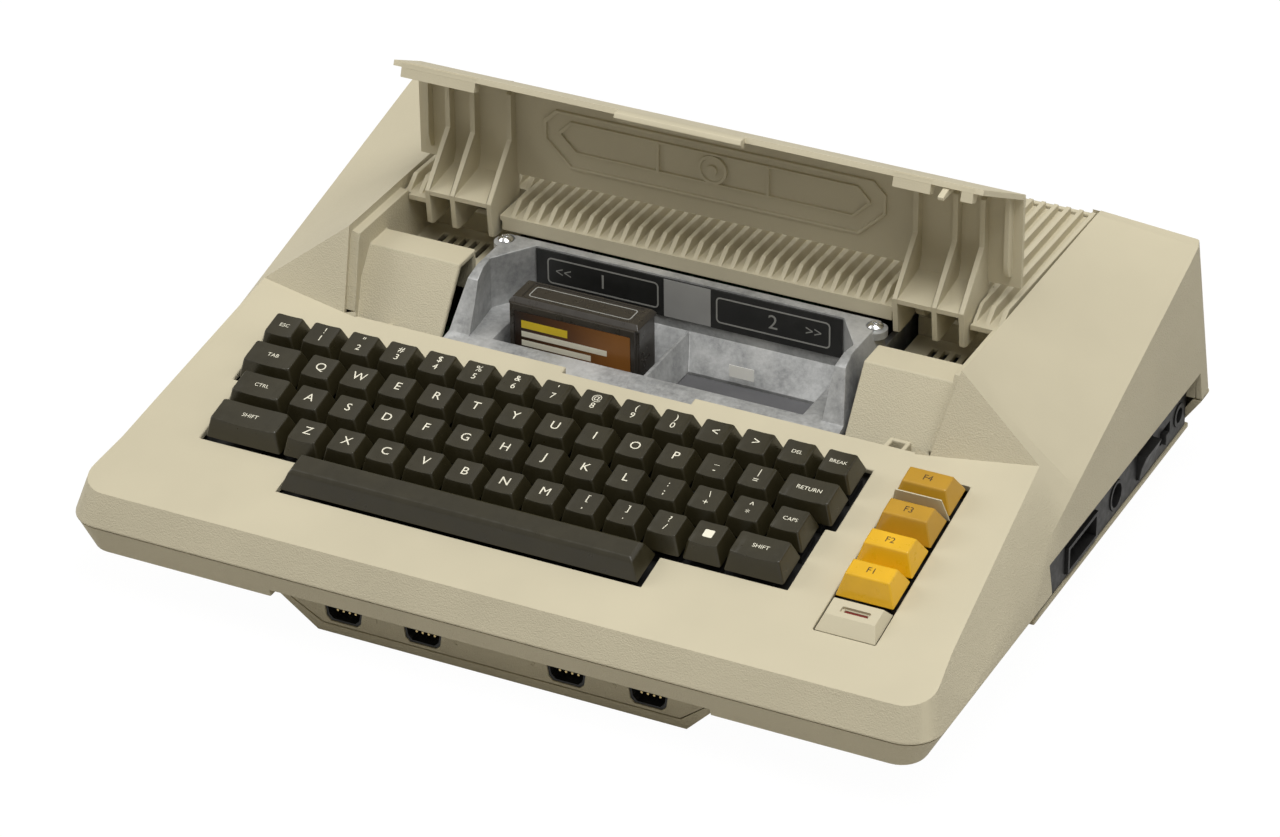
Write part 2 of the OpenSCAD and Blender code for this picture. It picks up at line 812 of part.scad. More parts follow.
module cpu_board() {
  color(green) place() {
    box(-58, 58, 220.2, 221.8, 14.2, 92);
    for (x = [-40, -12, 16, 40]) {
      box(x - 7, x + 7, 216.8, 220.3, 36, 84);
    }
  }
}

module memory_modules() {
  color([0.55, 0.5, 0.42]) place() {
    for (i = [1:3]) {
      box(-58, 58, 220.2 + i * 20, 221.8 + i * 20, 14.2, 40);
      box(-64, 64, 214 + i * 20, 228 + i * 20, 38, 95);
    }
  }
}

module speaker() {
  color([0.2, 0.2, 0.2]) place() {
    translate([speaker_x, 110, floor_z]) cylinder(r = 24, h = 4);
    translate([speaker_x, 110, floor_z + 3.8]) cylinder(r1 = 24, r2 = 12, h = 9);
    translate([speaker_x, 110, floor_z + 12.6]) cylinder(r = 11, h = 9);
  }
}

// ---- keyboard ----

// every key centre but the bar's, as [column position, row, width in pitches]
function run(u0, v, n) = [for (i = [0:n - 1]) [u0 + i + 0.5, v, 1]];
number_set = run(1, 3, 13);
upper_set = run(1.5, 2, 12);
home_set = run(1.75, 1, 12);
lower_set = run(2.25, 0, 10);
special_set = [[0.5, 3, 1], [14.5, 3, 1], [0.75, 2, 1.5], [14.25, 2, 1.5], [1, 1, 1.5],
  [14.25, 1, 1], [1.25, 0, 2], [14, 0, 1.5], [12.75, 0, 1]];
all_set = concat(number_set, upper_set, home_set, lower_set, special_set);
bar_u = 7.22;
bar_w = 9;

module at_key(k) {
  on_deck() {
    translate([grid_x + k[0] * pitch, row_s(k[1]), 0]) children();
  }
}

module key_frame() {
  color([0.35, 0.35, 0.36]) place() {
    difference() {
      on_deck() {
        translate([-176, 20, -8]) cube([305, 106, 1.6]);
        translate([132, 22, -12]) cube([36, 104, 1.6]);
        // posts up to the underside of the deck
        for (s = [40, 108]) {
          translate([-171.6, s, -7]) cylinder(r = 2.4, h = 3.6);
          translate([125.6, s, -7]) cylinder(r = 2.4, h = 3.6);
          translate([134, s, -11]) cylinder(r = 1.8, h = 7.6);
        }
      }
      for (k = all_set) {
        at_key(k) {
          translate([-7.05, -7.05, -10]) cube([14.1, 14.1, 5]);
        }
      }
      for (x = [-45, 45]) {
        at_key([bar_u, -1, bar_w]) {
          translate([x - 7.05, -7.05, -10]) cube([14.1, 14.1, 5]);
        }
      }
      for (i = [0:3]) {
        on_deck() {
          translate([143.6, console_s(i) - 7.1, -14]) cube([14.2, 14.2, 5]);
        }
      }
    }
  }
}

module switch_body() {
  difference() {
    translate([-7, -7, -12]) cube([14, 14, 8.8]);
    translate([0, 0, -11]) cylinder(r = stem_r + stem_gap, h = 9);
  }
}

module key_switches() {
  color([0.2, 0.2, 0.22]) place() {
    for (k = all_set) {
      at_key(k) switch_body();
    }
    for (x = [-45, 45]) {
      at_key([bar_u, -1, bar_w]) translate([x, 0, 0]) switch_body();
    }
    for (i = [0:3]) {
      on_deck() translate([150.7, console_s(i), -4]) switch_body();
    }
  }
}

module key_board() {
  color(green) place() {
    on_deck() {
      translate([-176, 22, -13.7]) cube([303, 102, 1.6]);
      translate([131, 24, -17.7]) cube([38, 100, 1.6]);
    }
  }
}

// a sculpted cap w wide, with its plunger
module cap(w) {
  b = w - key_gap;
  d = pitch - key_gap;
  hull() {
    translate([-b / 2, -d / 2, key_foot]) cube([b, d, 0.4]);
    for (x = [-1, 1], y = [-1, 1]) {
      translate([x * (b / 2 - 4.2), y * 4.6 + 0.4, key_top - 0.4])
        cylinder(r = 1.5, h = 0.4, $fn = 12);
    }
  }
}

module key(k) {
  at_key(k) {
    difference() {
      cap(k[2] * pitch);
      // shallow dish
      translate([0, 0.4, key_top + 31]) rotate([90, 0, 0])
        cylinder(r = 32, h = 11, center = true, $fn = 96);
    }
    translate([0, 0, -7]) cylinder(r = stem_r, h = 7 + key_foot + 1);
  }
}

module keys(set) {
  color(key_col) place() {
    for (k = set) key(k);
  }
}

module space_bar() {
  color(key_col) place() {
    at_key([bar_u, -1, bar_w]) {
      b = bar_w * pitch - key_gap;
      hull() {
        translate([-b / 2, -9.05, key_foot]) cube([b, 18.1, 0.4]);
        translate([-b / 2 + 2.2, -5.2, 9.2]) cube([b - 4.4, 12.6, 0.4]);
        translate([-b / 2 + 2.6, -3, 9.9]) cube([b - 5.2, 8.4, 0.3]);
      }
      for (x = [-45, 45]) {
        translate([x, 0, -7]) cylinder(r = stem_r, h = 7 + key_foot + 1);
      }
    }
  }
}

module esc_key() {
  keys([special_set[0]]);
}

module break_key() {
  keys([special_set[1]]);
}

module tab_key() {
  keys([special_set[2]]);
}

module return_key() {
  keys([special_set[3]]);
}

module ctrl_key() {
  keys([special_set[4]]);
}

module caps_key() {
  keys([special_set[5]]);
}

module shift_left_key() {
  keys([special_set[6]]);
}

module shift_right_key() {
  keys([special_set[7]]);
}

module emblem_key() {
  keys([special_set[8]]);
}

module number_keys() {
  keys(number_set);
}

module upper_keys() {
  keys(upper_set);
}

module home_keys() {
  keys(home_set);
}

module lower_keys() {
  keys(lower_set);
}

// ---- console keys ----

function console_s(i) = 54.9 + i * pitch + (i == 3 ? 1 : 0);

module console_key(i, c) {
  color(c) place() {
    on_deck() {
      translate([150.7, console_s(i), 0]) {
        hull() {
          translate([-13.2, -8.9, 0.4]) cube([26.4, 17.8, 0.4]);
          translate([-10.2, -4.6, key_top - 1.6]) cube([20.4, 9.6, 0.4]);
          translate([-9.6, -3.6, key_top - 1]) cube([19.2, 8.2, 0.3]);
        }
        translate([0, 0, -11]) cylinder(r = stem_r, h = 12);
      }
    }
  }
}

module start_key() {
  console_key(0, [0.95, 0.75, 0.05]);
}

module select_key() {
  console_key(1, [0.95, 0.75, 0.05]);
}

module option_key() {
  console_key(2, [0.85, 0.6, 0.1]);
}

module reset_key() {
  console_key(3, [0.8, 0.55, 0.08]);
}

module console_bezel() {
  color(beige) place() {
    on_deck() {
      difference() {
        hull() {
          translate([137.1, 26.4, -1]) cube([27, 18.2, 0.4]);
          translate([139.4, 32.4, 3.6]) cube([22.4, 9.6, 0.4]);
        }
        translate([144.8, 35.2, 2.6]) cube([12.8, 3.2, 4]);
        translate([146, 35.8, -4]) cube([10.4, 2, 8]);
      }
    }
  }
}

module power_lamp() {
  color([0.5, 0.08, 0.06]) place() {
    on_deck() translate([146.1, 35.9, -3]) cube([10.2, 1.8, 5.4]);
  }
}

module reset_guard() {
  color(beige_dark) place() {
    on_deck() {
      hull() {
        translate([137.4, console_s(3) - 9.95, -1]) cube([26.6, 0.6, 0.4]);
        translate([140.2, console_s(3) - 9.95, key_top - 1.4]) cube([21, 0.6, 0.4]);
        translate([137.4, console_s(3) - 9.3, -1]) cube([26.6, 0.1, 0.4]);
      }
    }
  }
}

// ---- cover and door ----

module rib(x, y0) {
  along_x(x - rib_t / 2, x + rib_t / 2) {
    polygon([[y0, plate_z - 0.1], [y0 + 8, body_h], [rim_y - fit_gap, body_h],
      [rim_y - fit_gap, plate_z - 0.1]]);
  }
}

module ribbed_cover() {
  color(beige) place() {
    difference() {
      union() {
        difference() {
          union() {
            box(-well_x + fit_gap, well_x - fit_gap, 204.4, rim_y - fit_gap,
              plate_z - 2.5, plate_z);
            // front lip
            box(-95, 95, 204.4, 206.9, 101.8, plate_z);
            for (i = [-15:15]) rib(i * rib_pitch, 205);
            both() {
              for (i = [16:21]) rib(i * rib_pitch, notch_y + 0.4);
              for (i = [22:24]) rib(i * rib_pitch, 207);
            }
          }
          both() box(notch_x0, notch_x1, 200, notch_y, plate_z - 3, body_h + 1);
          // corners that clear the end of the door's ledge
          both() box(142.2, well_x, 200, 206.6, plate_z - 3, body_h + 1);
        }
        both() {
          // lugs that carry the hinge pins
          for (x = [102, 122]) {
            along_x(x, x + 4) {
              union() {
                translate([hinge_y, hinge_z]) circle(r = 4.8);
                polygon([[hinge_y - 1, hinge_z + 4.7], [notch_y + 1, plate_z - 0.2],
                  [notch_y + 1, 97], [hinge_y, hinge_z - 4.8]]);
              }
            }
          }
          // skirt behind the arms
          box(notch_x0 - 1.5, notch_x1 + 1.5, notch_y, notch_y + 2, 94.2, plate_z);
        }
      }
      both() along_x(90, 140) translate([hinge_y, hinge_z]) circle(r = pin_r + pin_gap);
    }
  }
}

module hinge_pins() {
  color(metal) place() {
    both() {
      along_x(notch_x0 + 0.6, notch_x1 - 0.3) translate([hinge_y, hinge_z])
        circle(r = pin_r);
    }
  }
}

// one web plate of the open door, as a [y, z] outline
module web_outline() {
  difference() {
    union() {
      polygon([[226.4, 164], [220, 161.5], [219.8, 138.6], [198.7, 116.5], [200.5, 99.3],
        [203, 98.4], [212, 98.4], [222, 100], [226, 104], [226.4, 119]]);
      translate([hinge_y, hinge_z]) circle(r = 4.7);
    }
    translate([hinge_y, hinge_z]) circle(r = pin_r + pin_gap);
  }
}

// points of the open door: foot, bend and lip of the outer face
dy = 227;
dz0 = 119.9;
dz1 = 164.5;
ly = 193.6;
lz = 181.9;
dt = 2.5;
door_x = well_x - fit_gap;
tip_x = lip_x - fit_gap + 0.4;

module door_flat() {
  box(-door_x, door_x, dy - dt, dy, dz0, dz1);
}

module door_slope() {
  hull() {
    on_points(mirrored([[door_x, dy, dz1], [door_x, dy - dt, dz1 - 1.4],
      [tip_x, ly, lz], [tip_x, ly - 1.2, lz - 2.2]]));
  }
}

module cartridge_door() {
  color(beige) place() {
    door_flat();
    door_slope();
    both() {
      // end flange
      along_x(door_x - 6.9, door_x - 4.5) {
        polygon([[dy - 0.5, dz0 + 4], [dy - 0.5, dz1 - 0.5], [dy - 7, dz1 + 1.6],
          [dy - 7, dz0 + 12], [dy - 5.5, dz0 + 6]]);
      }
      for (x = [97.3, 115.7, 128.3]) {
        along_x(x, x + web_t) web_outline();
      }
      // skin that curls forward between the webs
      along_x(97.6, 130.4) {
        polygon([[dy, dz0 - 0.1], [dy, dz0 + 6], [dy - dt, dz0 + 6], [dy - 5, dz0],
          [198.9, 116.4], [199, 114.2], [222, 115.6]]);
      }
    }
    // corner lips, the right one parted for the interlock tab
    for (x = [[-tip_x + 4.3, -99.8], [99.8, 117], [131, tip_x - 4.3]]) {
      along_x(x[0], x[1]) {
        polygon([[ly - 0.5, lz - 0.4], [ly + 5, lz - 3.4], [ly + 1.5, lz - 8],
          [ly - 2.6, lz - 6.4]]);
      }
    }
    // long middle lip
    along_x(-30.3, 30.3) {
      polygon([[ly, lz], [ly - 4.2, lz + 0.4], [ly - 5.6, lz - 1.6], [ly - 2, lz - 5],
        [ly + 3, lz - 2.2]]);
    }
    // interlock tab
    along_x(122.4, 125.2) {
      polygon([[ly, lz - 1.2], [ly + 7, lz - 4.8], [ly + 3.1, lz - 6], [ly - 6.9, lz - 5.6],
        [ly - 6.9, lz - 4], [ly - 0.6, lz - 2.8]]);
    }
    // pressed borders on the inner face
    for (m = [0, 1]) {
      mirror([m, 0, 0]) difference() {
        pressing(83, 70.1, 156.9, 141.3, 128.7);
        pressing(81.6, 69.5, 155.6, 141.9, 130.2);
      }
    }
    for (m = [0, 1]) {
      mirror([m, 0, 0]) difference() {
        pressing(75.6, 67.6, 152.6, 145, 136.9);
        pressing(74.4, 67.1, 151.5, 145.5, 138);
      }
    }
    for (x = [-26.7, 26.7]) {
      box(x - 0.7, x + 0.7, dy - dt - 1.4, dy - dt + 0.2, 137.5, 152);
    }
    translate([0, dy - dt + 0.1, 144.5]) rotate([90, 0, 0]) {
      difference() {
        cylinder(r = 7, h = 1.5);
        translate([0, 0, 0.6]) cylinder(r = 5.6, h = 2);
      }
      cylinder(r = 2.4, h = 2);
    }
  }
}

// half of an eight-sided border: side x, lower corner x, top, corner and bottom heights
module pressing(x1, x2, zt, zc, zb) {
  translate([0, dy - dt + 0.1, 0]) rotate([90, 0, 0]) linear_extrude(1.3)
    polygon([[0, zt], [x1 - 6, zt], [x1, zt - 6], [x1, zc], [x2, zb], [0, zb]]);
}

module interlock_switch() {
  color([0.15, 0.15, 0.16]) place() {
    difference() {
      box(117.4, 130.2, 141.2, 151, 42, 58);
      box(120.6, 127, 141.9, 147.9, 44, 60);
    }
  }
}

module interlock_plunger() {
  color([0.7, 0.68, 0.6]) place() {
    box(121.1, 126.5, 142.4, 147.4, 52, 73.7);
  }
}

top_case();
bottom_case();
bay_casting();
bay_label_plate();
bay_screws();
key_frame();
key_board();
key_switches();
main_board();
board_chips();
power_board();
cpu_board();
memory_modules();
module_slots();
cartridge_slots();
game_ports();
port_pins();
port_panel();
side_plate();
peripheral_socket();
monitor_jack();
power_jack();
modulator_box();
console_bezel();
power_lamp();
reset_guard();
feet();
case_screws();
speaker();
interlock_switch();
interlock_plunger();
ribbed_cover();
hinge_pins();
cartridge_door();
cartridge_shell();
cartridge_board();
cartridge_label();
slot_flap();
power_rocker();
channel_switch();
start_key();
select_key();
option_key();
reset_key();
space_bar();
esc_key();
break_key();
tab_key();
return_key();
ctrl_key();
caps_key();
shift_left_key();
shift_right_key();
emblem_key();
number_keys();
upper_keys();
home_keys();
lower_keys();
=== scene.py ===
# %% [markdown]
# # A home computer with its cartridge door open
# The machine is a low wedge of beige plastic: a sloping keyboard deck, two raised
# wings, a ribbed cover at the back and a door that stands open over a cast metal bay.
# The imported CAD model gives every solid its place. This file gives the solids their
# rounded edges, lettering and finishes, then sets the lamps and the camera.

# %% Load the frame
import json
import math

import bpy
from mathutils import Euler, Matrix, Vector


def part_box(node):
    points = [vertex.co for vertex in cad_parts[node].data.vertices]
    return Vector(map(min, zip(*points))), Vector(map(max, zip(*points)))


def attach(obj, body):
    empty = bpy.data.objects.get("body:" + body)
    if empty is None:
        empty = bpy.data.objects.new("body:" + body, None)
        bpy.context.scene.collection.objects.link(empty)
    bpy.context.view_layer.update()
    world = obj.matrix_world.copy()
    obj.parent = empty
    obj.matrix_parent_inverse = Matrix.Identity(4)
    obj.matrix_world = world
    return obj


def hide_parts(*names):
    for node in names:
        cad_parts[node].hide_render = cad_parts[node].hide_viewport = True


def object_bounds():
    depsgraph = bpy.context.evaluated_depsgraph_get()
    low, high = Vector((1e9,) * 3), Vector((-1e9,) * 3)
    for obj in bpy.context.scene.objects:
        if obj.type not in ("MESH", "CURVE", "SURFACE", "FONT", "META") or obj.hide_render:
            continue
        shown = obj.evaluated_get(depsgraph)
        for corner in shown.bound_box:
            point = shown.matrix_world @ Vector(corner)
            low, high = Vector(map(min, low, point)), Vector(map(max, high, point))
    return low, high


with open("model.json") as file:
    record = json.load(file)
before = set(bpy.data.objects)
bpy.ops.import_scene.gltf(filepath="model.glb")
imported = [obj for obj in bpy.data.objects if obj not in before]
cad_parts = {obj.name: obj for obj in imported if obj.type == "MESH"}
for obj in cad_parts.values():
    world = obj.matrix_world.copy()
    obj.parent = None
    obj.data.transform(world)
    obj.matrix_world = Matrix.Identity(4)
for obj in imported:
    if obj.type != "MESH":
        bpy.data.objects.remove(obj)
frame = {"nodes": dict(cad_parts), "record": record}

cad_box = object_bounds()
nodes = frame["nodes"]
bodies = frame["record"]["behaviour"]["bodies"]
body_of = {node: body for body, members in bodies.items() for node in members}
mm = 0.001
half_depth = cad_box[1][1]
print("nodes", len(nodes), "box", [round(v, 4) for corner in cad_box for v in corner])

# %% [markdown]
# ## Working by hand, in code
# Operators act on whatever is selected. These helpers clear the selection, open one
# piece in edit mode and pick faces by their place or direction, as a modeller would
# with the mouse.

# %% Selection helpers
def deselect():
    if bpy.context.mode != "OBJECT":
        bpy.ops.object.mode_set(mode="OBJECT")
    bpy.ops.object.select_all(action="DESELECT")


def hold(*pieces):
    """Selects these pieces, with the first one active."""
    deselect()
    for piece in pieces:
        piece.select_set(True)
    bpy.context.view_layer.objects.active = pieces[0]


def settle(piece):
    """Puts a piece's place into its mesh, so that its object sits at the origin."""
    hold(piece)
    bpy.ops.object.transform_apply(location=True, rotation=True, scale=True)


def apply_modifiers(piece):
    hold(piece)
    for modifier in list(piece.modifiers):
        bpy.ops.object.modifier_apply(modifier=modifier.name)


def select_faces(piece, wanted):
    """In object mode, selects the faces for which wanted(face) is true."""
    for part in (piece.data.vertices, piece.data.edges):
        for element in part:
            element.select = False
    for face in piece.data.polygons:
        face.select = wanted(face)


room_share = 0.42
no_limit = 1.0


def rooms(mesh, angle):
    """How wide a bevel each sharp edge has room for, by the edge's key.

    A bevel may take up room_share of the edges it meets and of the faces beside it.
    At a corner between two bevels the reach is width / tan(half the angle).
    """
    faces_of = {}
    for face in mesh.polygons:
        for key in face.edge_keys:
            faces_of.setdefault(key, []).append(face.normal)
    limit = math.cos(math.radians(angle))
    found = {key: no_limit for key, normals in faces_of.items()
             if len(normals) == 2 and normals[0].dot(normals[1]) < limit}
    for face in mesh.polygons:
        points = [mesh.vertices[i].co for i in face.vertices]
        count = len(points)
        keys = [tuple(sorted((face.vertices[i], face.vertices[(i + 1) % count])))
                for i in range(count)]
        for i, key in enumerate(keys):
            if key not in found:
                continue
            start, end = points[i], points[(i + 1) % count]
            along = (end - start).normalized()
            length = (end - start).length
            for corner, far, way, side in (
                    (start, points[i - 1], along, keys[i - 1]),
                    (end, points[(i + 2) % count], -along, keys[(i + 1) % count])):
                arm = far - corner
                turn = max(0.02, way.angle(arm, 0.02))
                beveled = side in found
                reach = 1 / math.tan(turn / 2) if beveled else 1 / math.sin(turn)
                if reach > 0.05:
                    room = min(arm.length, length if beveled else no_limit)
                    found[key] = min(found[key], room_share * room / reach)
            for point in points:
                offset = point - start
                run = offset.dot(along)
                across = (offset - along * run).length
                if 0 <= run <= length and across > 0.00001:
                    found[key] = min(found[key], room_share * across)
    return level_runs(mesh, found)


def level_runs(mesh, found):
    """Gives all edges of one smooth run the width that its tightest edge has."""
    ends = {}
    for key in found:
        for here, there in (key, key[::-1]):
            way = mesh.vertices[there].co - mesh.vertices[here].co
            ends.setdefault(here, []).append((key, way.normalized()))
    straight = [(one, two) for meeting in ends.values() for one, way in meeting
                for two, back in meeting if way.dot(back) < -0.9]
    tight = True
    while tight:
        tight = False
        for one, two in straight:
            if found[one] > found[two] * 1.0001:
                found[one] = found[two]
                tight = True
    return found


def folded(mesh):
    """Area and corners of the faces that a bevel has folded over themselves."""
    mesh.calc_loop_triangles()
    bad = [t for t in mesh.loop_triangles if t.area > 0.0000001
           and t.normal.dot(mesh.polygons[t.polygon_index].normal) < 0.9]
    return sum(t.area for t in bad), [mesh.vertices[i].co.copy() for t in bad
                                      for i in mesh.polygons[t.polygon_index].vertices]


def near(mesh, key, points, reach):
    """Whether any of the points is closer to the edge than reach."""
    start, end = (mesh.vertices[i].co for i in key)
    along = (end - start).normalized()
    length = (end - start).length
    for point in points:
        run = min(max((point - start).dot(along), 0), length)
        if (point - start - along * run).length < reach:
            return True
    return False


least_share = 0.12


def ease(piece, width, segments=2, angle=32, smooth=48, tries=6):
    """Rounds the sharp edges, less where there is less room, and smooths the rest.

    Edges with room for less than least_share of the width stay sharp. Where a bevel
    still folds a face, the edges there are made narrower and it is done again. The
    try with the least folded area is kept.
    """
    plain = piece.data.copy()
    best = None
    room = rooms(plain, angle)
    for attempt in range(tries):
        weight = piece.data.attributes.new("bevel_weight_edge", "FLOAT", "EDGE")
        for edge in piece.data.edges:
            share = min(1.0, room.get(tuple(sorted(edge.vertices)), 0.0) / width)
            weight.data[edge.index].value = share if share > least_share else 0.0
        bevel = piece.modifiers.new("eased edges", "BEVEL")
        bevel.width = width
        bevel.segments = segments
        bevel.limit_method = "WEIGHT"
        bevel.use_clamp_overlap = False
        apply_modifiers(piece)
        area, points = folded(piece.data)
        if best is None or area < best[0]:
            best = (area, piece.data)
        if not points:
            break
        for key in room:
            if near(plain, key, points, width * 1.6):
                room[key] = min(room[key], width) * (0.5 if attempt < 3 else 0)
        level_runs(plain, room)
        piece.data = plain.copy()
    piece.data = best[1]
    bpy.ops.object.shade_smooth_by_angle(angle=math.radians(smooth))
    flat = piece.modifiers.new("flat faces stay flat", "WEIGHTED_NORMAL")
    flat.keep_sharp = True
    apply_modifiers(piece)


def block(name, low, high):
    """A block between two corners, in metres, still selected and in object mode."""
    deselect()
    middle = (Vector(low) + Vector(high)) / 2
    bpy.ops.mesh.primitive_cube_add(size=1, location=middle)
    piece = bpy.context.object
    piece.name = name
    piece.scale = Vector(high) - Vector(low)
    settle(piece)
    return piece


def joined(name, pieces):
    hold(*pieces)
    if len(pieces) > 1:
        bpy.ops.object.join()
    piece = bpy.context.object
    piece.name = name
    return piece


made = []


def fit(piece, body, finish, slot_name, *stands_for):
    """Gives a piece its finish and its body, and hides the nodes it stands for."""
    piece.data.materials.clear()
    piece.data.materials.append(finish)
    if stands_for:
        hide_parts(*stands_for)
    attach(piece, body)
    made.append(piece.name)
    return piece


# %% [markdown]
# ## Shader sums
# A finish is easier to read as an expression than as a list of links. Wire wraps one
# output socket, so that `patches * 0.6 + fine * 0.4` adds the Math nodes it needs.

# %% Wires and finishes
class Wire:
    """One output of a finish's nodes, which can be added, subtracted and scaled."""

    def __init__(self, finish, socket):
        self.finish = finish
        self.socket = socket

    def reckon(self, operation, other):
        return self.finish.node("Math", {"operation": operation}, (self, other))

    def __add__(self, other):
        return self.reckon("ADD", other)

    def __sub__(self, other):
        return self.reckon("SUBTRACT", other)

    def __mul__(self, other):
        return self.reckon("MULTIPLY", other)

    __radd__ = __add__


class Finish:
    """One material: a Principled shader and the nodes that feed it."""

    def __init__(self, name, **constants):
        self.material = bpy.data.materials.new(name)
        self.material.use_nodes = True
        self.tree = self.material.node_tree
        self.shader = self.tree.nodes["Principled BSDF"]
        for socket, value in constants.items():
            self.shader.inputs[socket.replace("_", " ")].default_value = value

    def node(self, kind, settings=None, values=(), output=0):
        """Adds a node, sets it, feeds its inputs and gives one of its outputs."""
        node = self.tree.nodes.new("ShaderNode" + kind)
        for key, value in (settings or {}).items():
            if key == "stops":
                ramp = node.color_ramp
                while len(ramp.elements) < len(value):
                    ramp.elements.new(1.0)
                for element, (place, colour) in zip(ramp.elements, value):
                    element.position = place
                    element.color = (*colour, 1)
            else:
                setattr(node, key, value)
        pairs = values.items() if isinstance(values, dict) else enumerate(values)
        for key, value in pairs:
            if isinstance(value, Wire):
                self.tree.links.new(value.socket, node.inputs[key])
            elif value is not None:
                node.inputs[key].default_value = value
        return Wire(self, node.outputs[output])

    def feed(self, socket, wire):
        self.tree.links.new(wire.socket, self.shader.inputs[socket])

    def place(self):
        return self.node("TexCoord", output="Object")

    def noise(self, scale, detail=2.0, roughness=0.5):
        return self.node("TexNoise", values={
            "Vector": self.place(), "Scale": scale, "Detail": detail,
            "Roughness": roughness})

    def cells(self, scale):
        return self.node("TexVoronoi", {"feature": "SMOOTH_F1"}, {
            "Vector": self.place(), "Scale": scale, "Smoothness": 0.6})

    def blend(self, factor, first, second):
        return self.node("Mix", {"data_type": "RGBA"}, {
            "Factor": factor, 6: colour(first), 7: colour(second)}, output=2)

    def span(self, wire, low, high, to_low=0.0, to_high=1.0):
        """Maps the range from low to high onto that from to_low to to_high."""
        return self.node("MapRange", {"clamp": True}, {
            0: wire, 1: low, 2: high, 3: to_low, 4: to_high})

    def bump(self, height, distance, strength=1.0):
        self.feed("Normal", self.node("Bump", values={
            "Strength": strength, "Distance": distance, "Height": height}))


def colour(value):
    """A plain red, green, blue colour gets the fourth number that a socket wants."""
    return (*value, 1) if isinstance(value, tuple) and len(value) == 3 else value


print("helpers ready")

# %% [markdown]
# ## Beige moulded plastic
# The deck, the wings and the inside of the door came from polished steel, so they are
# smooth and satin. The bevels, the sides and the small facets beside the well came
# from etched steel and carry a fine pebble. The direction of the surface tells the two
# apart, because the smooth faces are the ones that look up. The faces that look sideways
# or to the front are also painted a little darker: painted shade.

# %% Beige finishes
deck_beige = (0.565, 0.515, 0.375)
shade_beige = (0.505, 0.455, 0.322)


def beige(name, base, grain, by_direction):
    """Moulded beige plastic. grain is the depth of the pebble, in metres. With
    by_direction, faces that look sideways or to the front are also painted darker as
    painted shade.
    """
    finish = Finish(name, Roughness=0.5, Specular_IOR_Level=0.42)
    cloud = finish.noise(14, 3)
    speck = finish.noise(900, 2)
    tone = finish.span(cloud, 0.35, 0.65)
    low = tuple(v * 0.955 for v in base)
    high = tuple(min(1, v * 1.03) for v in base)
    if by_direction:
        facing = finish.node("TexCoord", output="Normal")
        parts = finish.node("SeparateXYZ", values=[facing])
        across = finish.node("Math", {"operation": "ABSOLUTE"}, [parts])
        front = finish.node("SeparateXYZ", values=[facing], output=1)
        etched_and_side_shade = finish.node("Math", {"operation": "MAXIMUM"}, [
            finish.span(across, 0.76, 0.84), finish.span(front, -0.72, -0.62, 1, 0)])
        # Sideways and front faces get a darker base colour here: painted shade, beside
        # their real pebble.
        low = finish.blend(etched_and_side_shade, low, tuple(v * 0.94 for v in low))
        high = finish.blend(etched_and_side_shade, high, tuple(v * 0.95 for v in high))
    else:
        etched_and_side_shade = 1.0
    finish.feed("Base Color", finish.blend(tone, low, high))
    pebble = finish.cells(1500) + finish.noise(2600, 1) * 0.6
    finish.feed("Roughness", finish.span(speck, 0.3, 0.7, 0.44, 0.56) + etched_and_side_shade * 0.1)
    finish.bump(pebble * (0.06 + etched_and_side_shade), grain)
    return finish.material


case_beige = beige("satin_and_pebbled_beige", deck_beige, 0.16 * mm, True)
lower_beige = beige("pebbled_beige", shade_beige, 0.14 * mm, False)
satin_beige = beige("satin_beige", deck_beige, 0.03 * mm, False)
print("beige finishes", case_beige.name, lower_beige.name, satin_beige.name)

# %% [markdown]
# ## Other finishes
# The keys are a hard, dark brown plastic with a moulded-in polish on their edges. The
# bay is bare cast alloy: its skin is mottled, with rubbed patches that are smoother and
# painted brighter as a painted sheen. The rest are plain shop finishes: plated steel,
# black nylon, green board, rubber.

# %% Small finishes
fine_grain = 0.01 * mm
coarse_grain = 0.03 * mm


def gloss(name, base, roughness, coat=0.0, mottle=0.06, grain=fine_grain):
    """Paint, plastic or rubber, a little uneven in tone and in shine."""
    finish = Finish(name, Roughness=roughness, Coat_Roughness=0.12, Coat_Weight=coat)
    cloud = finish.span(finish.noise(60, 3), 0.3, 0.7)
    finish.feed("Base Color", finish.blend(
        cloud, tuple(v * (1 - mottle) for v in base),
        tuple(min(1, v * (1 + mottle)) for v in base)))
    wear = finish.span(finish.noise(240, 4), 0.3, 0.7,
                       roughness * 0.85, roughness * 1.2)
    finish.feed("Roughness", wear)
    finish.bump(finish.noise(1800, 2), grain)
    return finish.material


def plated(name, base, roughness, stretch=(1, 1, 1)):
    """Plated metal. A stretch along one axis draws its noise out into streaks."""
    finish = Finish(name, Metallic=1.0)
    place = finish.node("Mapping", values={"Vector": finish.place(), "Scale": stretch})
    streak = finish.node("TexNoise", values={
        "Vector": place, "Scale": 300, "Detail": 3})
    finish.feed("Base Color", finish.blend(
        streak, tuple(v * 0.85 for v in base), base))
    finish.feed("Roughness", finish.span(
        streak, 0.3, 0.7, roughness * 0.8, roughness * 1.25))
    return finish.material


def cast_alloy():
    """Bare casting: a dull skin mottled at two sizes, and rubbed patches that are smoother
    and painted brighter, a painted sheen.
    """
    finish = Finish("cast_alloy", Metallic=0.4)
    patches = finish.noise(55, 6, 0.62)
    fine = finish.noise(420, 5, 0.7)
    rubbed_and_sheen = finish.span(finish.noise(22, 2), 0.5, 0.68)
    tone = finish.span(patches * 0.6 + fine * 0.4, 0.38, 0.62)
    grey = finish.blend(tone, (0.27, 0.275, 0.275), (0.50, 0.505, 0.50))
    # The rubbed patches are painted brighter: a painted sheen on top of the real rubbing.
    finish.feed("Base Color", finish.blend(rubbed_and_sheen * 0.6, grey, (0.72, 0.72, 0.70)))
    finish.feed("Roughness", finish.span(fine, 0.3, 0.7, 0.42, 0.6) - rubbed_and_sheen * 0.12)
    finish.bump(patches * 0.5 + fine, 0.1 * mm)
    return finish.material


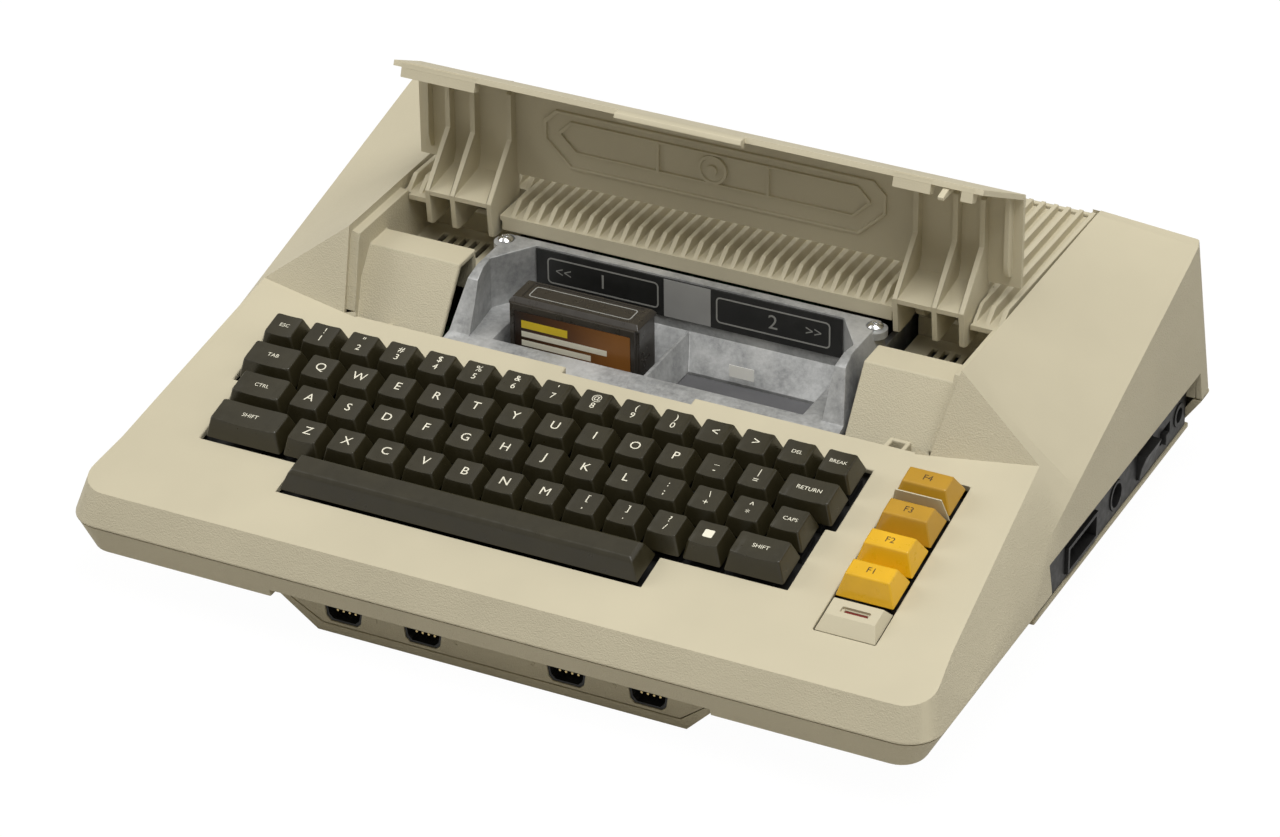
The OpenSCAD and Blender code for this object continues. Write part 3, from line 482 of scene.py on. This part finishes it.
def circuit_board():
    """Green lacquer, with a brick pattern for the tracks."""
    finish = Finish("green_board", Roughness=0.35)
    brick = finish.node("TexBrick", values={
        "Vector": finish.place(), "Scale": 90, "Mortar Size": 0.03,
        "Color1": (0.02, 0.11, 0.045, 1), "Color2": (0.025, 0.13, 0.05, 1),
        "Mortar": (0.05, 0.2, 0.08, 1)})
    finish.feed("Base Color", brick)
    return finish.material


def shaded_label():
    """Printed paper that runs from near black at its left to orange brown."""
    finish = Finish("label_brown", Roughness=0.38)
    parts = finish.node("SeparateXYZ", values=[finish.place()])
    across = finish.span(parts + finish.noise(40, 2) * 0.01, -62 * mm, -12 * mm)
    finish.feed("Base Color", finish.node("ValToRGB", {"stops": (
        (0.0, (0.012, 0.006, 0.003)), (0.55, (0.10, 0.035, 0.007)),
        (1.0, (0.26, 0.10, 0.016)))}, [across]))
    finish.bump(finish.noise(900, 2), fine_grain)
    return finish.material


key_brown = gloss("key_brown", (0.025, 0.021, 0.009), 0.32, coat=0.1, mottle=0.12)
legend_cream = gloss("legend_cream", (0.78, 0.75, 0.62), 0.5)
key_yellow = gloss("key_yellow", (0.74, 0.42, 0.007), 0.3, coat=0.3)
key_amber = gloss("key_amber", (0.46, 0.25, 0.012), 0.33, coat=0.3)
legend_brown = gloss("legend_brown", (0.05, 0.025, 0.005), 0.5)
cast_metal = cast_alloy()
plate_black = gloss("plate_black", (0.016, 0.016, 0.015), 0.42,
                    coat=0.1, mottle=0.2, grain=coarse_grain)
print_grey = gloss("print_grey", (0.31, 0.31, 0.29), 0.45)
plate_silver = gloss("plate_silver", (0.34, 0.34, 0.33), 0.4, coat=0.2)
paper = gloss("paper", (0.97, 0.96, 0.90), 0.7, mottle=0.02)
chrome = plated("bright_plate", (0.78, 0.78, 0.78), 0.16)
steel = plated("plain_plate", (0.52, 0.53, 0.55), 0.34, stretch=(1, 8, 1))
nylon = gloss("black_nylon", (0.012, 0.012, 0.012), 0.5, mottle=0.2, grain=coarse_grain)
chip = gloss("chip_black", (0.02, 0.02, 0.02), 0.55)
gold = plated("contact_gold", (0.75, 0.58, 0.28), 0.25)
tan = gloss("module_tan", (0.30, 0.25, 0.17), 0.5)
rubber = gloss("foot_rubber", (0.025, 0.025, 0.025), 0.8, mottle=0.2, grain=0.05 * mm)
lens = gloss("dark_red_lens", (0.16, 0.02, 0.015), 0.2, coat=0.5)
shell_brown = gloss("cartridge_brown", (0.035, 0.03, 0.024), 0.3, coat=0.2, mottle=0.15)
label_brown = shaded_label()
label_yellow = gloss("label_yellow", (0.75, 0.55, 0.02), 0.45)
flap_grey = gloss("flap_grey", (0.10, 0.10, 0.105), 0.5)
board = circuit_board()
print("finishes", len(bpy.data.materials))

# %% [markdown]
# ## Nodes that keep their CAD shape
# Boards, sockets and fasteners already have the right form, and most of them are inside
# the case. They only need a finish, so it goes straight into their material slots.

# %% Finishes for the CAD nodes
plain_nodes = {
    # The key frame takes the black plate in place of plated steel, as painted shade that
    # keeps the gaps between the keys dark.
    "key_frame": plate_black, "key_board": board, "key_switches": nylon,
    "main_board": board, "board_chips": chip, "power_board": board,
    "cpu_board": board, "memory_modules": tan, "module_slots": nylon,
    "cartridge_slots": nylon,
    "port_pins": gold, "monitor_jack": nylon, "power_jack": nylon,
    "modulator_box": steel, "power_lamp": lens, "feet": rubber, "case_screws": steel,
    "speaker": chip, "interlock_switch": nylon, "interlock_plunger": flap_grey,
    "hinge_pins": steel, "cartridge_board": board, "slot_flap": flap_grey,
    "game_ports": nylon, "side_plate": nylon, "peripheral_socket": nylon,
}
for name, finish in plain_nodes.items():
    data = nodes[name].data
    data.materials.clear()
    data.materials.append(finish)
print("plain nodes", len(plain_nodes))

# %% [markdown]
# ## Mouldings with eased edges
# No moulded edge is truly sharp. A copy of the solid is merged, cleaned of the seams
# between its flat triangles, and given a narrow bevel. A new mesh from primitives would
# only repeat what the solid already says, and would drift from it.

# %% Ease the mouldings
def moulding(node, finish, slot_name, width, segments=2, weld=0.004 * mm,
             angle=32, smooth=48):
    """An eased copy of a node, which stands for it. Points within weld are merged."""
    piece = bpy.data.objects.new(node + "_moulding", nodes[node].data.copy())
    bpy.context.scene.collection.objects.link(piece)
    hold(piece)
    bpy.ops.mesh.customdata_custom_splitnormals_clear()
    bpy.ops.object.mode_set(mode="EDIT")
    bpy.ops.mesh.select_all(action="SELECT")
    bpy.ops.mesh.remove_doubles(threshold=weld)
    bpy.ops.mesh.dissolve_limited(angle_limit=math.radians(0.05))
    bpy.ops.mesh.select_all(action="SELECT")
    bpy.ops.mesh.quads_convert_to_tris(quad_method="BEAUTY", ngon_method="BEAUTY")
    bpy.ops.object.mode_set(mode="OBJECT")
    ease(piece, width, segments, angle, smooth)
    return fit(piece, body_of[node], finish, slot_name, node)


moulding("top_case", case_beige, "abs_beige", 0.7 * mm, segments=3,
         weld=0.12 * mm, angle=20, smooth=31)
moulding("bottom_case", lower_beige, "abs_beige_dark", 0.6 * mm, segments=3,
         angle=20, smooth=31)
moulding("port_panel", lower_beige, "abs_beige_dark", 0.3 * mm)
cover = moulding("ribbed_cover", satin_beige, "abs_beige", 0.4 * mm)
moulding("cartridge_door", satin_beige, "abs_beige", 0.4 * mm)
moulding("bay_casting", cast_metal, "cast_metal", 0.5 * mm, weld=0.1 * mm)
moulding("console_bezel", satin_beige, "abs_beige", 0.4 * mm)
moulding("reset_guard", satin_beige, "abs_beige_dark", 0.2 * mm)
moulding("bay_screws", chrome, "screw_chrome", 0.15 * mm)
moulding("power_rocker", nylon, "socket_black", 0.4 * mm)
moulding("channel_switch", nylon, "socket_black", 0.3 * mm)
print("mouldings", len(made))

# %% [markdown]
# ## Rib ends
# The ribs of the cover run down a little towards the back. Level ribs would show as a
# row of beads over the edge of the open door. Only their rear ends are lowered, by
# moving the points of the finished moulding, because so small a fall needs no more.

# %% Rib ends
rib_fall = 2 * mm
cover_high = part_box("ribbed_cover")[1]
lowered = 0
for vertex in cover.data.vertices:
    at_the_rear = vertex.co.y > cover_high.y - 1.5 * mm
    if at_the_rear and vertex.co.z > cover_high.z - 3 * mm:
        vertex.co.z -= rib_fall
        lowered += 1
print("rib points lowered", lowered)

# %% [markdown]
# ## Key caps
# A cap is a tapered block with rounded corners, and its top is hollowed from side to
# side so that a finger finds its middle. One cap of each width is made: a block is
# narrowed at the top, its upright edges are rounded, a large cylinder cuts the hollow,
# and a narrow bevel polishes the rim. It is then copied to every place of that width.

# %% Cap sizes and places
tilt = math.radians(12.64)
deck_front = Vector((0, 8.2 * mm - half_depth, 51 * mm))
deck_turn = Euler((tilt, 0, 0)).to_matrix().to_4x4()
deck = Matrix.Translation(deck_front) @ deck_turn
pitch = 19.05 * mm
key_gap = 0.95 * mm
grid_left = -165 * mm
shift_row = 52.64 * mm
cap_top = 11.05 * mm
cap_foot = 1.2 * mm
cap_depth = pitch - key_gap
cap_taper = 5.2 * mm
cap_top_depth = 12.6 * mm
cap_corner = 1.1 * mm
dish_radius = 32 * mm
dish_depth = 1 * mm


def seat(column, row):
    """The matrix that moves a piece from the origin to a key's place on the deck."""
    return deck @ Matrix.Translation((grid_left + column * pitch,
                                      shift_row + row * pitch, 0))


def cap(width_in_pitches):
    """A key cap at the origin, with a hollow that is wider in a wide cap."""
    width = width_in_pitches * pitch - key_gap
    piece = block("cap", (-width / 2, -cap_depth / 2, cap_foot),
                  (width / 2, cap_depth / 2, cap_top))
    select_faces(piece, lambda face: face.normal.z > 0.9)
    bpy.ops.object.mode_set(mode="EDIT")
    bpy.ops.transform.resize(value=(
        (width - cap_taper) / width, cap_top_depth / cap_depth, 1))
    bpy.ops.transform.translate(value=(0, 0.3 * mm, 0))
    bpy.ops.object.mode_set(mode="OBJECT")
    for edge in piece.data.edges:
        low, high = (piece.data.vertices[i].co.z for i in edge.vertices)
        edge.select = abs(low - high) > 5 * mm
    bpy.ops.object.mode_set(mode="EDIT")
    bpy.ops.mesh.select_mode(type="EDGE")
    bpy.ops.mesh.bevel(offset=cap_corner, segments=3, affect="EDGES")
    bpy.ops.object.mode_set(mode="OBJECT")
    deselect()
    bpy.ops.mesh.primitive_cylinder_add(
        vertices=128, radius=dish_radius, depth=30 * mm,
        location=(0, 0, cap_top + dish_radius - dish_depth),
        rotation=(math.radians(90), 0, 0))
    cutter = bpy.context.object
    settle(cutter)
    if width_in_pitches > 1:
        cutter.scale = (width / cap_depth, 1, 1)
        settle(cutter)
    dish = piece.modifiers.new("dish", "BOOLEAN")
    dish.operation = "DIFFERENCE"
    dish.object = cutter
    apply_modifiers(piece)
    bpy.data.objects.remove(cutter)
    ease(piece, 0.45 * mm, angle=30)
    return piece


caps = {width: cap(width) for width in (1, 1.5, 2)}
print("caps", {width: len(piece.data.polygons) for width, piece in caps.items()})

# %% [markdown]
# ## Legends
# Each legend is a plain letter, digit or sign. It is set as text, made a mesh, cut into
# narrow strips so that it can bend, and pressed down on the hollow top of its own cap
# with a Shrinkwrap. Printed film is thin, so it stands a few hundredths proud.

# %% Legend helper
film = 0.03 * mm
print_height = 20 * mm
strip = 0.8 * mm


def lettering(text, size, x=0.0, y=0.0):
    """Flat text, centred on x and y, as a mesh at print_height. All in millimetres."""
    deselect()
    bpy.ops.object.text_add(location=(0, 0, 0))
    piece = bpy.context.object
    piece.data.body = text
    piece.data.size = size * mm
    piece.data.align_x = "CENTER"
    piece.data.align_y = "CENTER"
    piece.data.resolution_u = 3
    bpy.ops.object.convert(target="MESH")
    piece = bpy.context.object
    piece.location = (x * mm, y * mm, print_height)
    settle(piece)
    return piece


def slug(low, high):
    """A plain printed patch between two corners, in millimetres."""
    deselect()
    middle = ((low[0] + high[0]) / 2 * mm, (low[1] + high[1]) / 2 * mm, print_height)
    bpy.ops.mesh.primitive_plane_add(size=1, location=middle)
    piece = bpy.context.object
    piece.scale = ((high[0] - low[0]) * mm, (high[1] - low[1]) * mm, 1)
    settle(piece)
    hold(piece)
    bpy.ops.object.mode_set(mode="EDIT")
    bpy.ops.mesh.select_all(action="SELECT")
    bpy.ops.mesh.bevel(offset=0.5 * mm, segments=3, affect="VERTICES")
    bpy.ops.object.mode_set(mode="OBJECT")
    return piece


def press_on(piece, cap_piece):
    """Cuts the print into strips and lays it on the cap."""
    hold(piece)
    xs = [v.co.x for v in piece.data.vertices]
    strips = max(1, int((max(xs) - min(xs)) / strip))
    bpy.ops.object.mode_set(mode="EDIT")
    for i in range(1, strips):
        bpy.ops.mesh.select_all(action="SELECT")
        cut = min(xs) + (max(xs) - min(xs)) * i / strips
        bpy.ops.mesh.bisect(plane_co=(cut, 0, 0), plane_no=(1, 0, 0))
    bpy.ops.object.mode_set(mode="OBJECT")
    wrap = piece.modifiers.new("press", "SHRINKWRAP")
    wrap.target = cap_piece
    wrap.wrap_method = "PROJECT"
    wrap.use_project_z = True
    wrap.use_negative_direction = True
    wrap.use_positive_direction = False
    wrap.offset = film
    apply_modifiers(piece)
    return piece


def copy_of(piece):
    hold(piece)
    bpy.ops.object.duplicate()
    return bpy.context.object


# %% [markdown]
# ## The keyboard
# Every row says where it lies, where its first cap is and what its caps say. A cap with
# two signs has one above the other; a word is set small. A key that moves alone has its
# column, row, width in pitches and word. Each cap is a copy of the one of its width.

# %% Rows of keys
def pair(upper, lower):
    """What a cap says: text, size, x and y of each print, in millimetres."""
    return [(upper, 4.8, 0, 3.1), (lower, 4.8, 0, -1.8)]


def letter(sign):
    return [(sign, 6.4, 0, 0.6)]


def word(text, size=2.9, y=0.6):
    lines = text.split(" ")
    step = size * 1.05
    top = y + step * (len(lines) - 1) / 2
    return [(line, size, 0, top - i * step) for i, line in enumerate(lines)]


digits = [("!", "1"), ('"', "2"), ("#", "3"), ("$", "4"), ("%", "5"), ("&", "6"),
          ("'", "7"), ("@", "8"), ("(", "9"), (")", "0")]
rows = {
    "number_keys": (3, 1.5, [pair(*both) for both in digits]
                    + [letter("<"), letter(">"), word("DEL")]),
    "upper_keys": (2, 2.0, [letter(s) for s in "QWERTYUIOP"]
                   + [pair("_", "-"), pair("|", "=")]),
    "home_keys": (1, 2.25, [letter(s) for s in "ASDFGHJKL"]
                  + [pair(":", ";"), pair("\\", "+"), pair("^", "*")]),
    "lower_keys": (0, 2.75, [letter(s) for s in "ZXCVBNM"]
                   + [pair("[", ","), pair("]", "."), pair("?", "/")]),
}
single = {
    "esc_key": (0.5, 3, 1, word("ESC")),
    "break_key": (14.5, 3, 1, word("BREAK", 2.7)),
    "tab_key": (0.75, 2, 1.5, word("TAB", 3.1)),
    "return_key": (14.25, 2, 1.5, word("RETURN", 3.1)),
    "ctrl_key": (1, 1, 1.5, word("CTRL", 2.9)),
    "caps_key": (14.25, 1, 1, word("CAPS", 2.9)),
    "shift_left_key": (1.25, 0, 2, word("SHIFT", 3.1)),
    "shift_right_key": (14, 0, 1.5, word("SHIFT", 3.1)),
    "emblem_key": (12.75, 0, 1, []),
}


def key_pieces(column, row, width, words):
    """One cap and its legends at their place on the deck."""
    shape = copy_of(caps[width])
    prints = []
    for text, size, x, y in words:
        prints.append(press_on(lettering(text, size, x, y), caps[width]))
    place = seat(column, row)
    for piece in [shape] + prints:
        piece.data.transform(place)
    return shape, prints


def keyboard_row(node, entries):
    shapes, prints = [], []
    for entry in entries:
        shape, legend = key_pieces(*entry)
        shapes.append(shape)
        prints += legend
    body = body_of[node]
    fit(joined(node + "_caps", shapes), body, key_brown, "key_black", node)
    if prints:
        fit(joined(node + "_legends", prints), body, legend_cream, "key_black")


for node, (row, first, words) in rows.items():
    keyboard_row(node, [(first + i, row, 1, w) for i, w in enumerate(words)])
for node, entry in single.items():
    keyboard_row(node, [entry])
print("keyboard pieces", len(made))

# %% [markdown]
# ## A light square
# The key beside the right shift is marked with a plain light square. It is a flat patch
# with rounded corners, pressed on in the same way as the signs.

# %% Square mark
emblem_column, emblem_row = single["emblem_key"][:2]
square_mark = press_on(slug((-2.2, -1.6), (2.2, 2.8)), caps[1])
square_mark.data.transform(seat(emblem_column, emblem_row))
square_mark.name = "square_mark"
fit(square_mark, body_of["emblem_key"], legend_cream, "key_black")
print("square mark on", body_of["emblem_key"])
for piece in caps.values():
    bpy.data.objects.remove(piece)

# %% [markdown]
# ## Space bar
# The bar is one long moulding with a crowned top. A block is narrowed at the top, cut
# once all round for the crease that catches the light, and its edges are eased.

# %% Space bar
bar_half = (9 * pitch - key_gap) / 2
bar_top = 10.2 * mm
crease = 8.7 * mm
bar_column = 7.22


def space_bar():
    piece = block("space_bar_cap", (-bar_half, -cap_depth / 2, cap_foot),
                  (bar_half, cap_depth / 2, bar_top))
    select_faces(piece, lambda face: face.normal.z > 0.9)
    bpy.ops.object.mode_set(mode="EDIT")
    bpy.ops.transform.resize(value=(1 - 4.8 * mm / bar_half, 0.52, 1))
    bpy.ops.transform.translate(value=(0, 0.9 * mm, 0))
    bpy.ops.mesh.select_all(action="SELECT")
    bpy.ops.mesh.bisect(plane_co=(0, 0, crease), plane_no=(0, 0, 1))
    bpy.ops.mesh.select_mode(type="VERT")
    bpy.ops.object.mode_set(mode="OBJECT")
    for vertex in piece.data.vertices:
        vertex.select = abs(vertex.co.z - crease) < 0.1 * mm
    bpy.ops.object.mode_set(mode="EDIT")
    bpy.ops.transform.resize(value=(1.006, 1.12, 1))
    bpy.ops.object.mode_set(mode="OBJECT")
    ease(piece, 0.6 * mm, segments=3, angle=12)
    piece.data.transform(seat(bar_column, -1))
    return fit(piece, "space_bar", key_brown, "key_black", "space_bar")


print("space bar faces", len(space_bar().data.polygons))

# %% [markdown]
# ## Console keys
# Four tall caps stand in a column at the right: two bright yellow, two amber. Their
# tops are flat and lie along the deck, so each is a block narrowed at the top, with
# soft edges. They carry plain function numbers.

# %% Console keys
console = {
    "start_key": (0, key_yellow, "key_yellow"),
    "select_key": (1, key_yellow, "key_yellow"),
    "option_key": (2, key_amber, "key_amber"),
    "reset_key": (3, key_amber, "key_amber"),
}
console_x = 150.7 * mm
console_first = 54.9 * mm
guard_gap = 1 * mm
console_foot = (26.4 * mm, 17.8 * mm)
console_top = (19.8 * mm, 8.9 * mm)


def console_cap(node, order, finish, slot_name):
    """One console key. The last one stands a little apart, behind its guard."""
    half_x, half_y = console_foot[0] / 2, console_foot[1] / 2
    piece = block(node + "_cap", (-half_x, -half_y, 0.4 * mm),
                  (half_x, half_y, 10.4 * mm))
    select_faces(piece, lambda face: face.normal.z > 0.9)
    bpy.ops.object.mode_set(mode="EDIT")
    bpy.ops.transform.resize(value=(
        console_top[0] / console_foot[0], console_top[1] / console_foot[1], 1))
    bpy.ops.transform.translate(value=(0, 0.4 * mm, 0))
    bpy.ops.object.mode_set(mode="OBJECT")
    ease(piece, 0.7 * mm, segments=3, angle=20)
    slope = console_first + order * pitch
    if node == "reset_key":
        slope += guard_gap
    place = deck @ Matrix.Translation((console_x, slope, 0))
    mark = press_on(lettering(f"F{order + 1}", 4.6, 0, 0.4), piece)
    for shape in (piece, mark):
        shape.data.transform(place)
    mark.name = node + "_number"
    fit(piece, node, finish, slot_name, node)
    fit(mark, node, legend_brown, slot_name)


for node, (order, finish, slot_name) in console.items():
    console_cap(node, order, finish, slot_name)
print("console keys added")

# %% [markdown]
# ## Cartridge
# The cartridge is a dark moulded box with a rounded top, a label on its face and a
# shallow tray on top. The label is printed with plain rules in cream and yellow. Each
# rule is a thin block, because raised ink is easier to see in other views than a
# pattern in the material would be.

# %% Cartridge
moulding("cartridge_shell", shell_brown, "cart_brown", 0.5 * mm, segments=3)
moulding("cartridge_label", label_brown, "cart_label", 0.1 * mm)
label_low, label_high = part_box("cartridge_label")
label_width = label_high.x - label_low.x
rule_left = label_low.x + 0.06 * label_width
rules = []
# Each rule ends at a share of the label's width; its thickness and its drop from the
# label's top edge are in millimetres.
for right, thick, drop in ((0.46, 3.8, 4.0), (0.80, 2.8, 9.4), (0.66, 2.8, 13.8),
                           (0.74, 1.0, 24.5), (0.52, 1.0, 27.0)):
    top = label_high.z - drop * mm
    rule = block("rule", (rule_left, label_low.y - 0.05 * mm, top - thick * mm),
                 (label_low.x + right * label_width, label_low.y + 0.1 * mm, top))
    ease(rule, 0.04 * mm, segments=1)
    rules.append(rule)
fit(rules[0], "cartridge", label_yellow, "cart_label").name = "label_heading"
fit(joined("label_rules", rules[1:]), "cartridge", legend_cream, "cart_label")


line_height = 0.08 * mm


def frame_line(name, low, high, y, line, corner, body, finish, slot_name, turn=None):
    """A rounded rectangular line in the x, z plane at y, between two corners.

    A plane gets rounded corners, is inset by the width of the line and loses its
    middle. The ring that is left is thickened.
    """
    deselect()
    middle = ((low[0] + high[0]) / 2, y, (low[1] + high[1]) / 2)
    bpy.ops.mesh.primitive_plane_add(
        size=1, location=middle, rotation=(math.radians(90), 0, 0))
    piece = bpy.context.object
    piece.name = name
    piece.scale = (high[0] - low[0], high[1] - low[1], 1)
    settle(piece)
    hold(piece)
    bpy.ops.object.mode_set(mode="EDIT")
    bpy.ops.mesh.select_all(action="SELECT")
    bpy.ops.mesh.bevel(offset=corner, segments=4, affect="VERTICES")
    bpy.ops.mesh.select_all(action="SELECT")
    bpy.ops.mesh.inset(thickness=line)
    bpy.ops.mesh.delete(type="FACE")
    bpy.ops.object.mode_set(mode="OBJECT")
    wall = piece.modifiers.new("film", "SOLIDIFY")
    wall.thickness = line_height
    wall.offset = 0
    apply_modifiers(piece)
    if turn:
        piece.data.transform(turn)
    return fit(piece, body, finish, slot_name)


shell_low, shell_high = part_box("cartridge_shell")
tray_height = 94.75 * mm
lie_flat = Euler((math.radians(-90), 0, 0)).to_matrix().to_4x4()
tray = Matrix.Translation((0, 0, tray_height)) @ lie_flat
tray_middle = (shell_low.y + shell_high.y) / 2 + 1 * mm
frame_line("tray_line", (shell_low.x + 7 * mm, tray_middle - 4.6 * mm),
           (shell_high.x - 6.5 * mm, tray_middle + 4.6 * mm), 0, 0.5 * mm, 1.6 * mm,
           "cartridge", print_grey, "cart_brown", tray)
print("cartridge dressed")

# %% [markdown]
# ## Plate at the back of the bay
# A black plate with a silver block in its middle. Two rounded outlines mark the two
# slots. Plain numbers and arrows say which is which. Flat text is made a mesh, stood up
# and set just proud of the plate.

# %% Bay plate
moulding("bay_label_plate", plate_black, "black_metal", 0.1 * mm)
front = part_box("bay_label_plate")[0].y
for side, (left, right) in (("left", (-69, -14)), ("right", (14, 69))):
    frame_line(f"slot_outline_{side}", (left * mm, 84.6 * mm), (right * mm, 97.6 * mm),
               front - 0.02 * mm, 0.7 * mm, 2.2 * mm, "case", print_grey, "black_metal")
middle_block = block("plate_middle", (-11.4 * mm, front - 0.1 * mm, 81.6 * mm),
                     (11.4 * mm, front + 0.2 * mm, 100.4 * mm))
ease(middle_block, 0.06 * mm, segments=1)
fit(middle_block, "case", plate_silver, "black_metal")
upright = Matrix.Rotation(math.radians(90), 4, "X")


def standing(name, text, size, x, y, z):
    """Lettering that stands up and faces the front. x and z are in millimetres."""
    piece = lettering(text, size)
    piece.data.transform(Matrix.Translation((x * mm, y, z * mm)) @ upright
                         @ Matrix.Translation((0, 0, -print_height)))
    piece.name = name
    return piece


def plate_words(name, text, size, x, z):
    piece = standing(name, text, size, x, front - 0.05 * mm, z)
    return fit(piece, "case", print_grey, "black_metal")


plate_words("slot_number_left", "1", 10, -41.5, 91)
plate_words("slot_number_right", "2", 10, 41.5, 91)
plate_words("slot_arrows_left", "<<", 7, -61, 91)
plate_words("slot_arrows_right", ">>", 7, 61, 91)
print("bay plate dressed")

# %% [markdown]
# ## Sticker in the empty slot
# A small blank sticker lies on the back wall of the empty slot. A thin block with eased
# edges is enough, because paper of this size lies flat.

# %% Sticker
sticker = block("sticker", (26 * mm, 27.1 * mm, 66.5 * mm),
                (38 * mm, 27.3 * mm, 72.5 * mm))
ease(sticker, 0.05 * mm, segments=1)
print("sticker at", [round(v, 4) for v in sticker.dimensions])
fit(sticker, "case", paper, "cast_metal")

# %% [markdown]
# ## Port numbers
# The four game ports are numbered on the panel. The digits are raised by the mould, so
# they are real geometry in the colour of the panel.

# %% Port numbers
number_relief = 0.3 * mm
panel_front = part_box("port_panel")[0].y
for i, x in enumerate((-60.5, -22.5, 14.5, 52.5), start=1):
    digit = standing(f"port_number_{i}", str(i), 5, x, panel_front - 0.1 * mm, 13)
    wall = digit.modifiers.new("relief", "SOLIDIFY")
    wall.thickness = number_relief
    wall.offset = 0
    apply_modifiers(digit)
    fit(digit, "case", lower_beige, "abs_beige_dark")
print("pieces", len(made))

# %% [markdown]
# ## Floor
# The machine stands on a pale floor that fades to white. The floor takes shadows as a
# matt surface does. A share of plain white is mixed in for the rays that come from the
# camera, and less of it for those from a gloss, so that the floor looks bright without
# lighting the object or washing out its dark plastic.

# %% Floor
white = (1, 1, 1, 1)
gloss_share = 0.4
white_share = 0.93


def reckon(tree, operation, first, second):
    """A Math node in a tree of nodes. Each value is a number or an output."""
    node = tree.nodes.new("ShaderNodeMath")
    node.operation = operation
    for place, value in enumerate((first, second)):
        if isinstance(value, bpy.types.NodeSocket):
            tree.links.new(value, node.inputs[place])
        else:
            node.inputs[place].default_value = value
    return node.outputs[0]


def mixed(tree, factor, first, second, surface):
    """Leads a mix of two shaders to the output node."""
    mix = tree.nodes.new("ShaderNodeMixShader")
    tree.links.new(factor, mix.inputs["Fac"])
    tree.links.new(first.outputs[0], mix.inputs[1])
    tree.links.new(second.outputs[0], mix.inputs[2])
    tree.links.new(mix.outputs[0], surface.inputs["Surface"])


deselect()
bpy.ops.mesh.primitive_plane_add(size=12, location=(0, 0, -0.1 * mm))
floor = bpy.context.object
floor.name = "floor"
floor_finish = bpy.data.materials.new("pale_floor")
floor_finish.use_nodes = True
tree = floor_finish.node_tree
matt = tree.nodes["Principled BSDF"]
matt.inputs["Base Color"].default_value = (0.52, 0.51, 0.49, 1)
matt.inputs["Roughness"].default_value = 0.9
glow = tree.nodes.new("ShaderNodeEmission")
glow.inputs["Color"].default_value = white
glow.inputs["Strength"].default_value = 1.05
path = tree.nodes.new("ShaderNodeLightPath")
in_gloss = reckon(tree, "MULTIPLY", path.outputs["Is Glossy Ray"], gloss_share)
seen_by = reckon(tree, "MAXIMUM", path.outputs["Is Camera Ray"], in_gloss)
share = reckon(tree, "MULTIPLY", seen_by, white_share)
mixed(tree, share, matt, glow, tree.nodes["Material Output"])
floor.data.materials.append(floor_finish)
print("floor", [round(v, 2) for v in floor.dimensions])

# %% [markdown]
# ## Lamps and world
# The camera and clear parts see a white world, a gloss sees less than half of it, and
# matt surfaces get only a weak warm fill from it. The object is lit by three square
# area lamps, because a large lamp gives the soft shadows of a studio tent.

# %% Lamps and world
world = bpy.data.worlds.new("studio")
bpy.context.scene.world = world
world.use_nodes = True
sky = world.node_tree
dome = sky.nodes["Background"]
dome.inputs["Color"].default_value = (1, 0.93, 0.79, 1)
dome.inputs["Strength"].default_value = 0.24
seen = sky.nodes.new("ShaderNodeBackground")
seen.inputs["Color"].default_value = white
seen.inputs["Strength"].default_value = 1.0
path = sky.nodes.new("ShaderNodeLightPath")
straight = reckon(sky, "MAXIMUM", path.outputs["Is Camera Ray"],
                  path.outputs["Is Transmission Ray"])
in_gloss = reckon(sky, "MULTIPLY", path.outputs["Is Glossy Ray"], gloss_share)
mixed(sky, reckon(sky, "MAXIMUM", straight, in_gloss), dome, seen,
      sky.nodes["World Output"])


def soft_lamp(name, place, power, size):
    """A square lamp that looks at the middle of the machine."""
    data = bpy.data.lights.new(name, "AREA")
    data.energy = power
    data.shape = "SQUARE"
    data.size = size
    lamp = bpy.data.objects.new(name, data)
    lamp.location = place
    aim = Vector((0, 0, 80 * mm)) - Vector(place)
    lamp.rotation_euler = aim.to_track_quat("-Z", "Y").to_euler()
    bpy.context.scene.collection.objects.link(lamp)
    return lamp


soft_lamp("lamp_above_front", (0.45, -0.42, 1.9), 32, 1.3)
soft_lamp("lamp_left", (-1.5, -0.4, 1.1), 10, 0.9)
soft_lamp("lamp_right", (1.5, 0.4, 1.2), 3.5, 0.9)

# %% [markdown]
# ## Camera
# The camera stands at the front right, well back, and looks down. Its place, its turn
# and its long lens were worked out from the grid of keys, whose real pitch is known,
# and from points of the case that come in pairs, one at each side.

# %% Camera
camera_data = bpy.data.cameras.new("camera")
camera = bpy.data.objects.new("camera", camera_data)
bpy.context.scene.collection.objects.link(camera)
camera_data.sensor_width = 36
camera_data.lens = 141.58
camera_data.clip_end = 20
camera_place = (0.8462, -1.6814, 1.1881)
yaw, pitch_down, roll = (math.radians(v) for v in (26.830, 31.091, -0.7356))
ahead = Vector((-math.sin(yaw) * math.cos(pitch_down),
                math.cos(yaw) * math.cos(pitch_down), -math.sin(pitch_down)))
right = Vector((math.cos(yaw), math.sin(yaw), 0))
up = right.cross(ahead)
rolled_right = right * math.cos(roll) + up * math.sin(roll)
rolled_up = up * math.cos(roll) - right * math.sin(roll)
turn = Matrix((rolled_right, rolled_up, -ahead)).transposed().to_4x4()
camera.matrix_world = Matrix.Translation(camera_place) @ turn
bpy.context.scene.camera = camera
bpy.context.scene.view_settings.view_transform = "Standard"
print("camera", [round(v, 3) for v in camera.location])
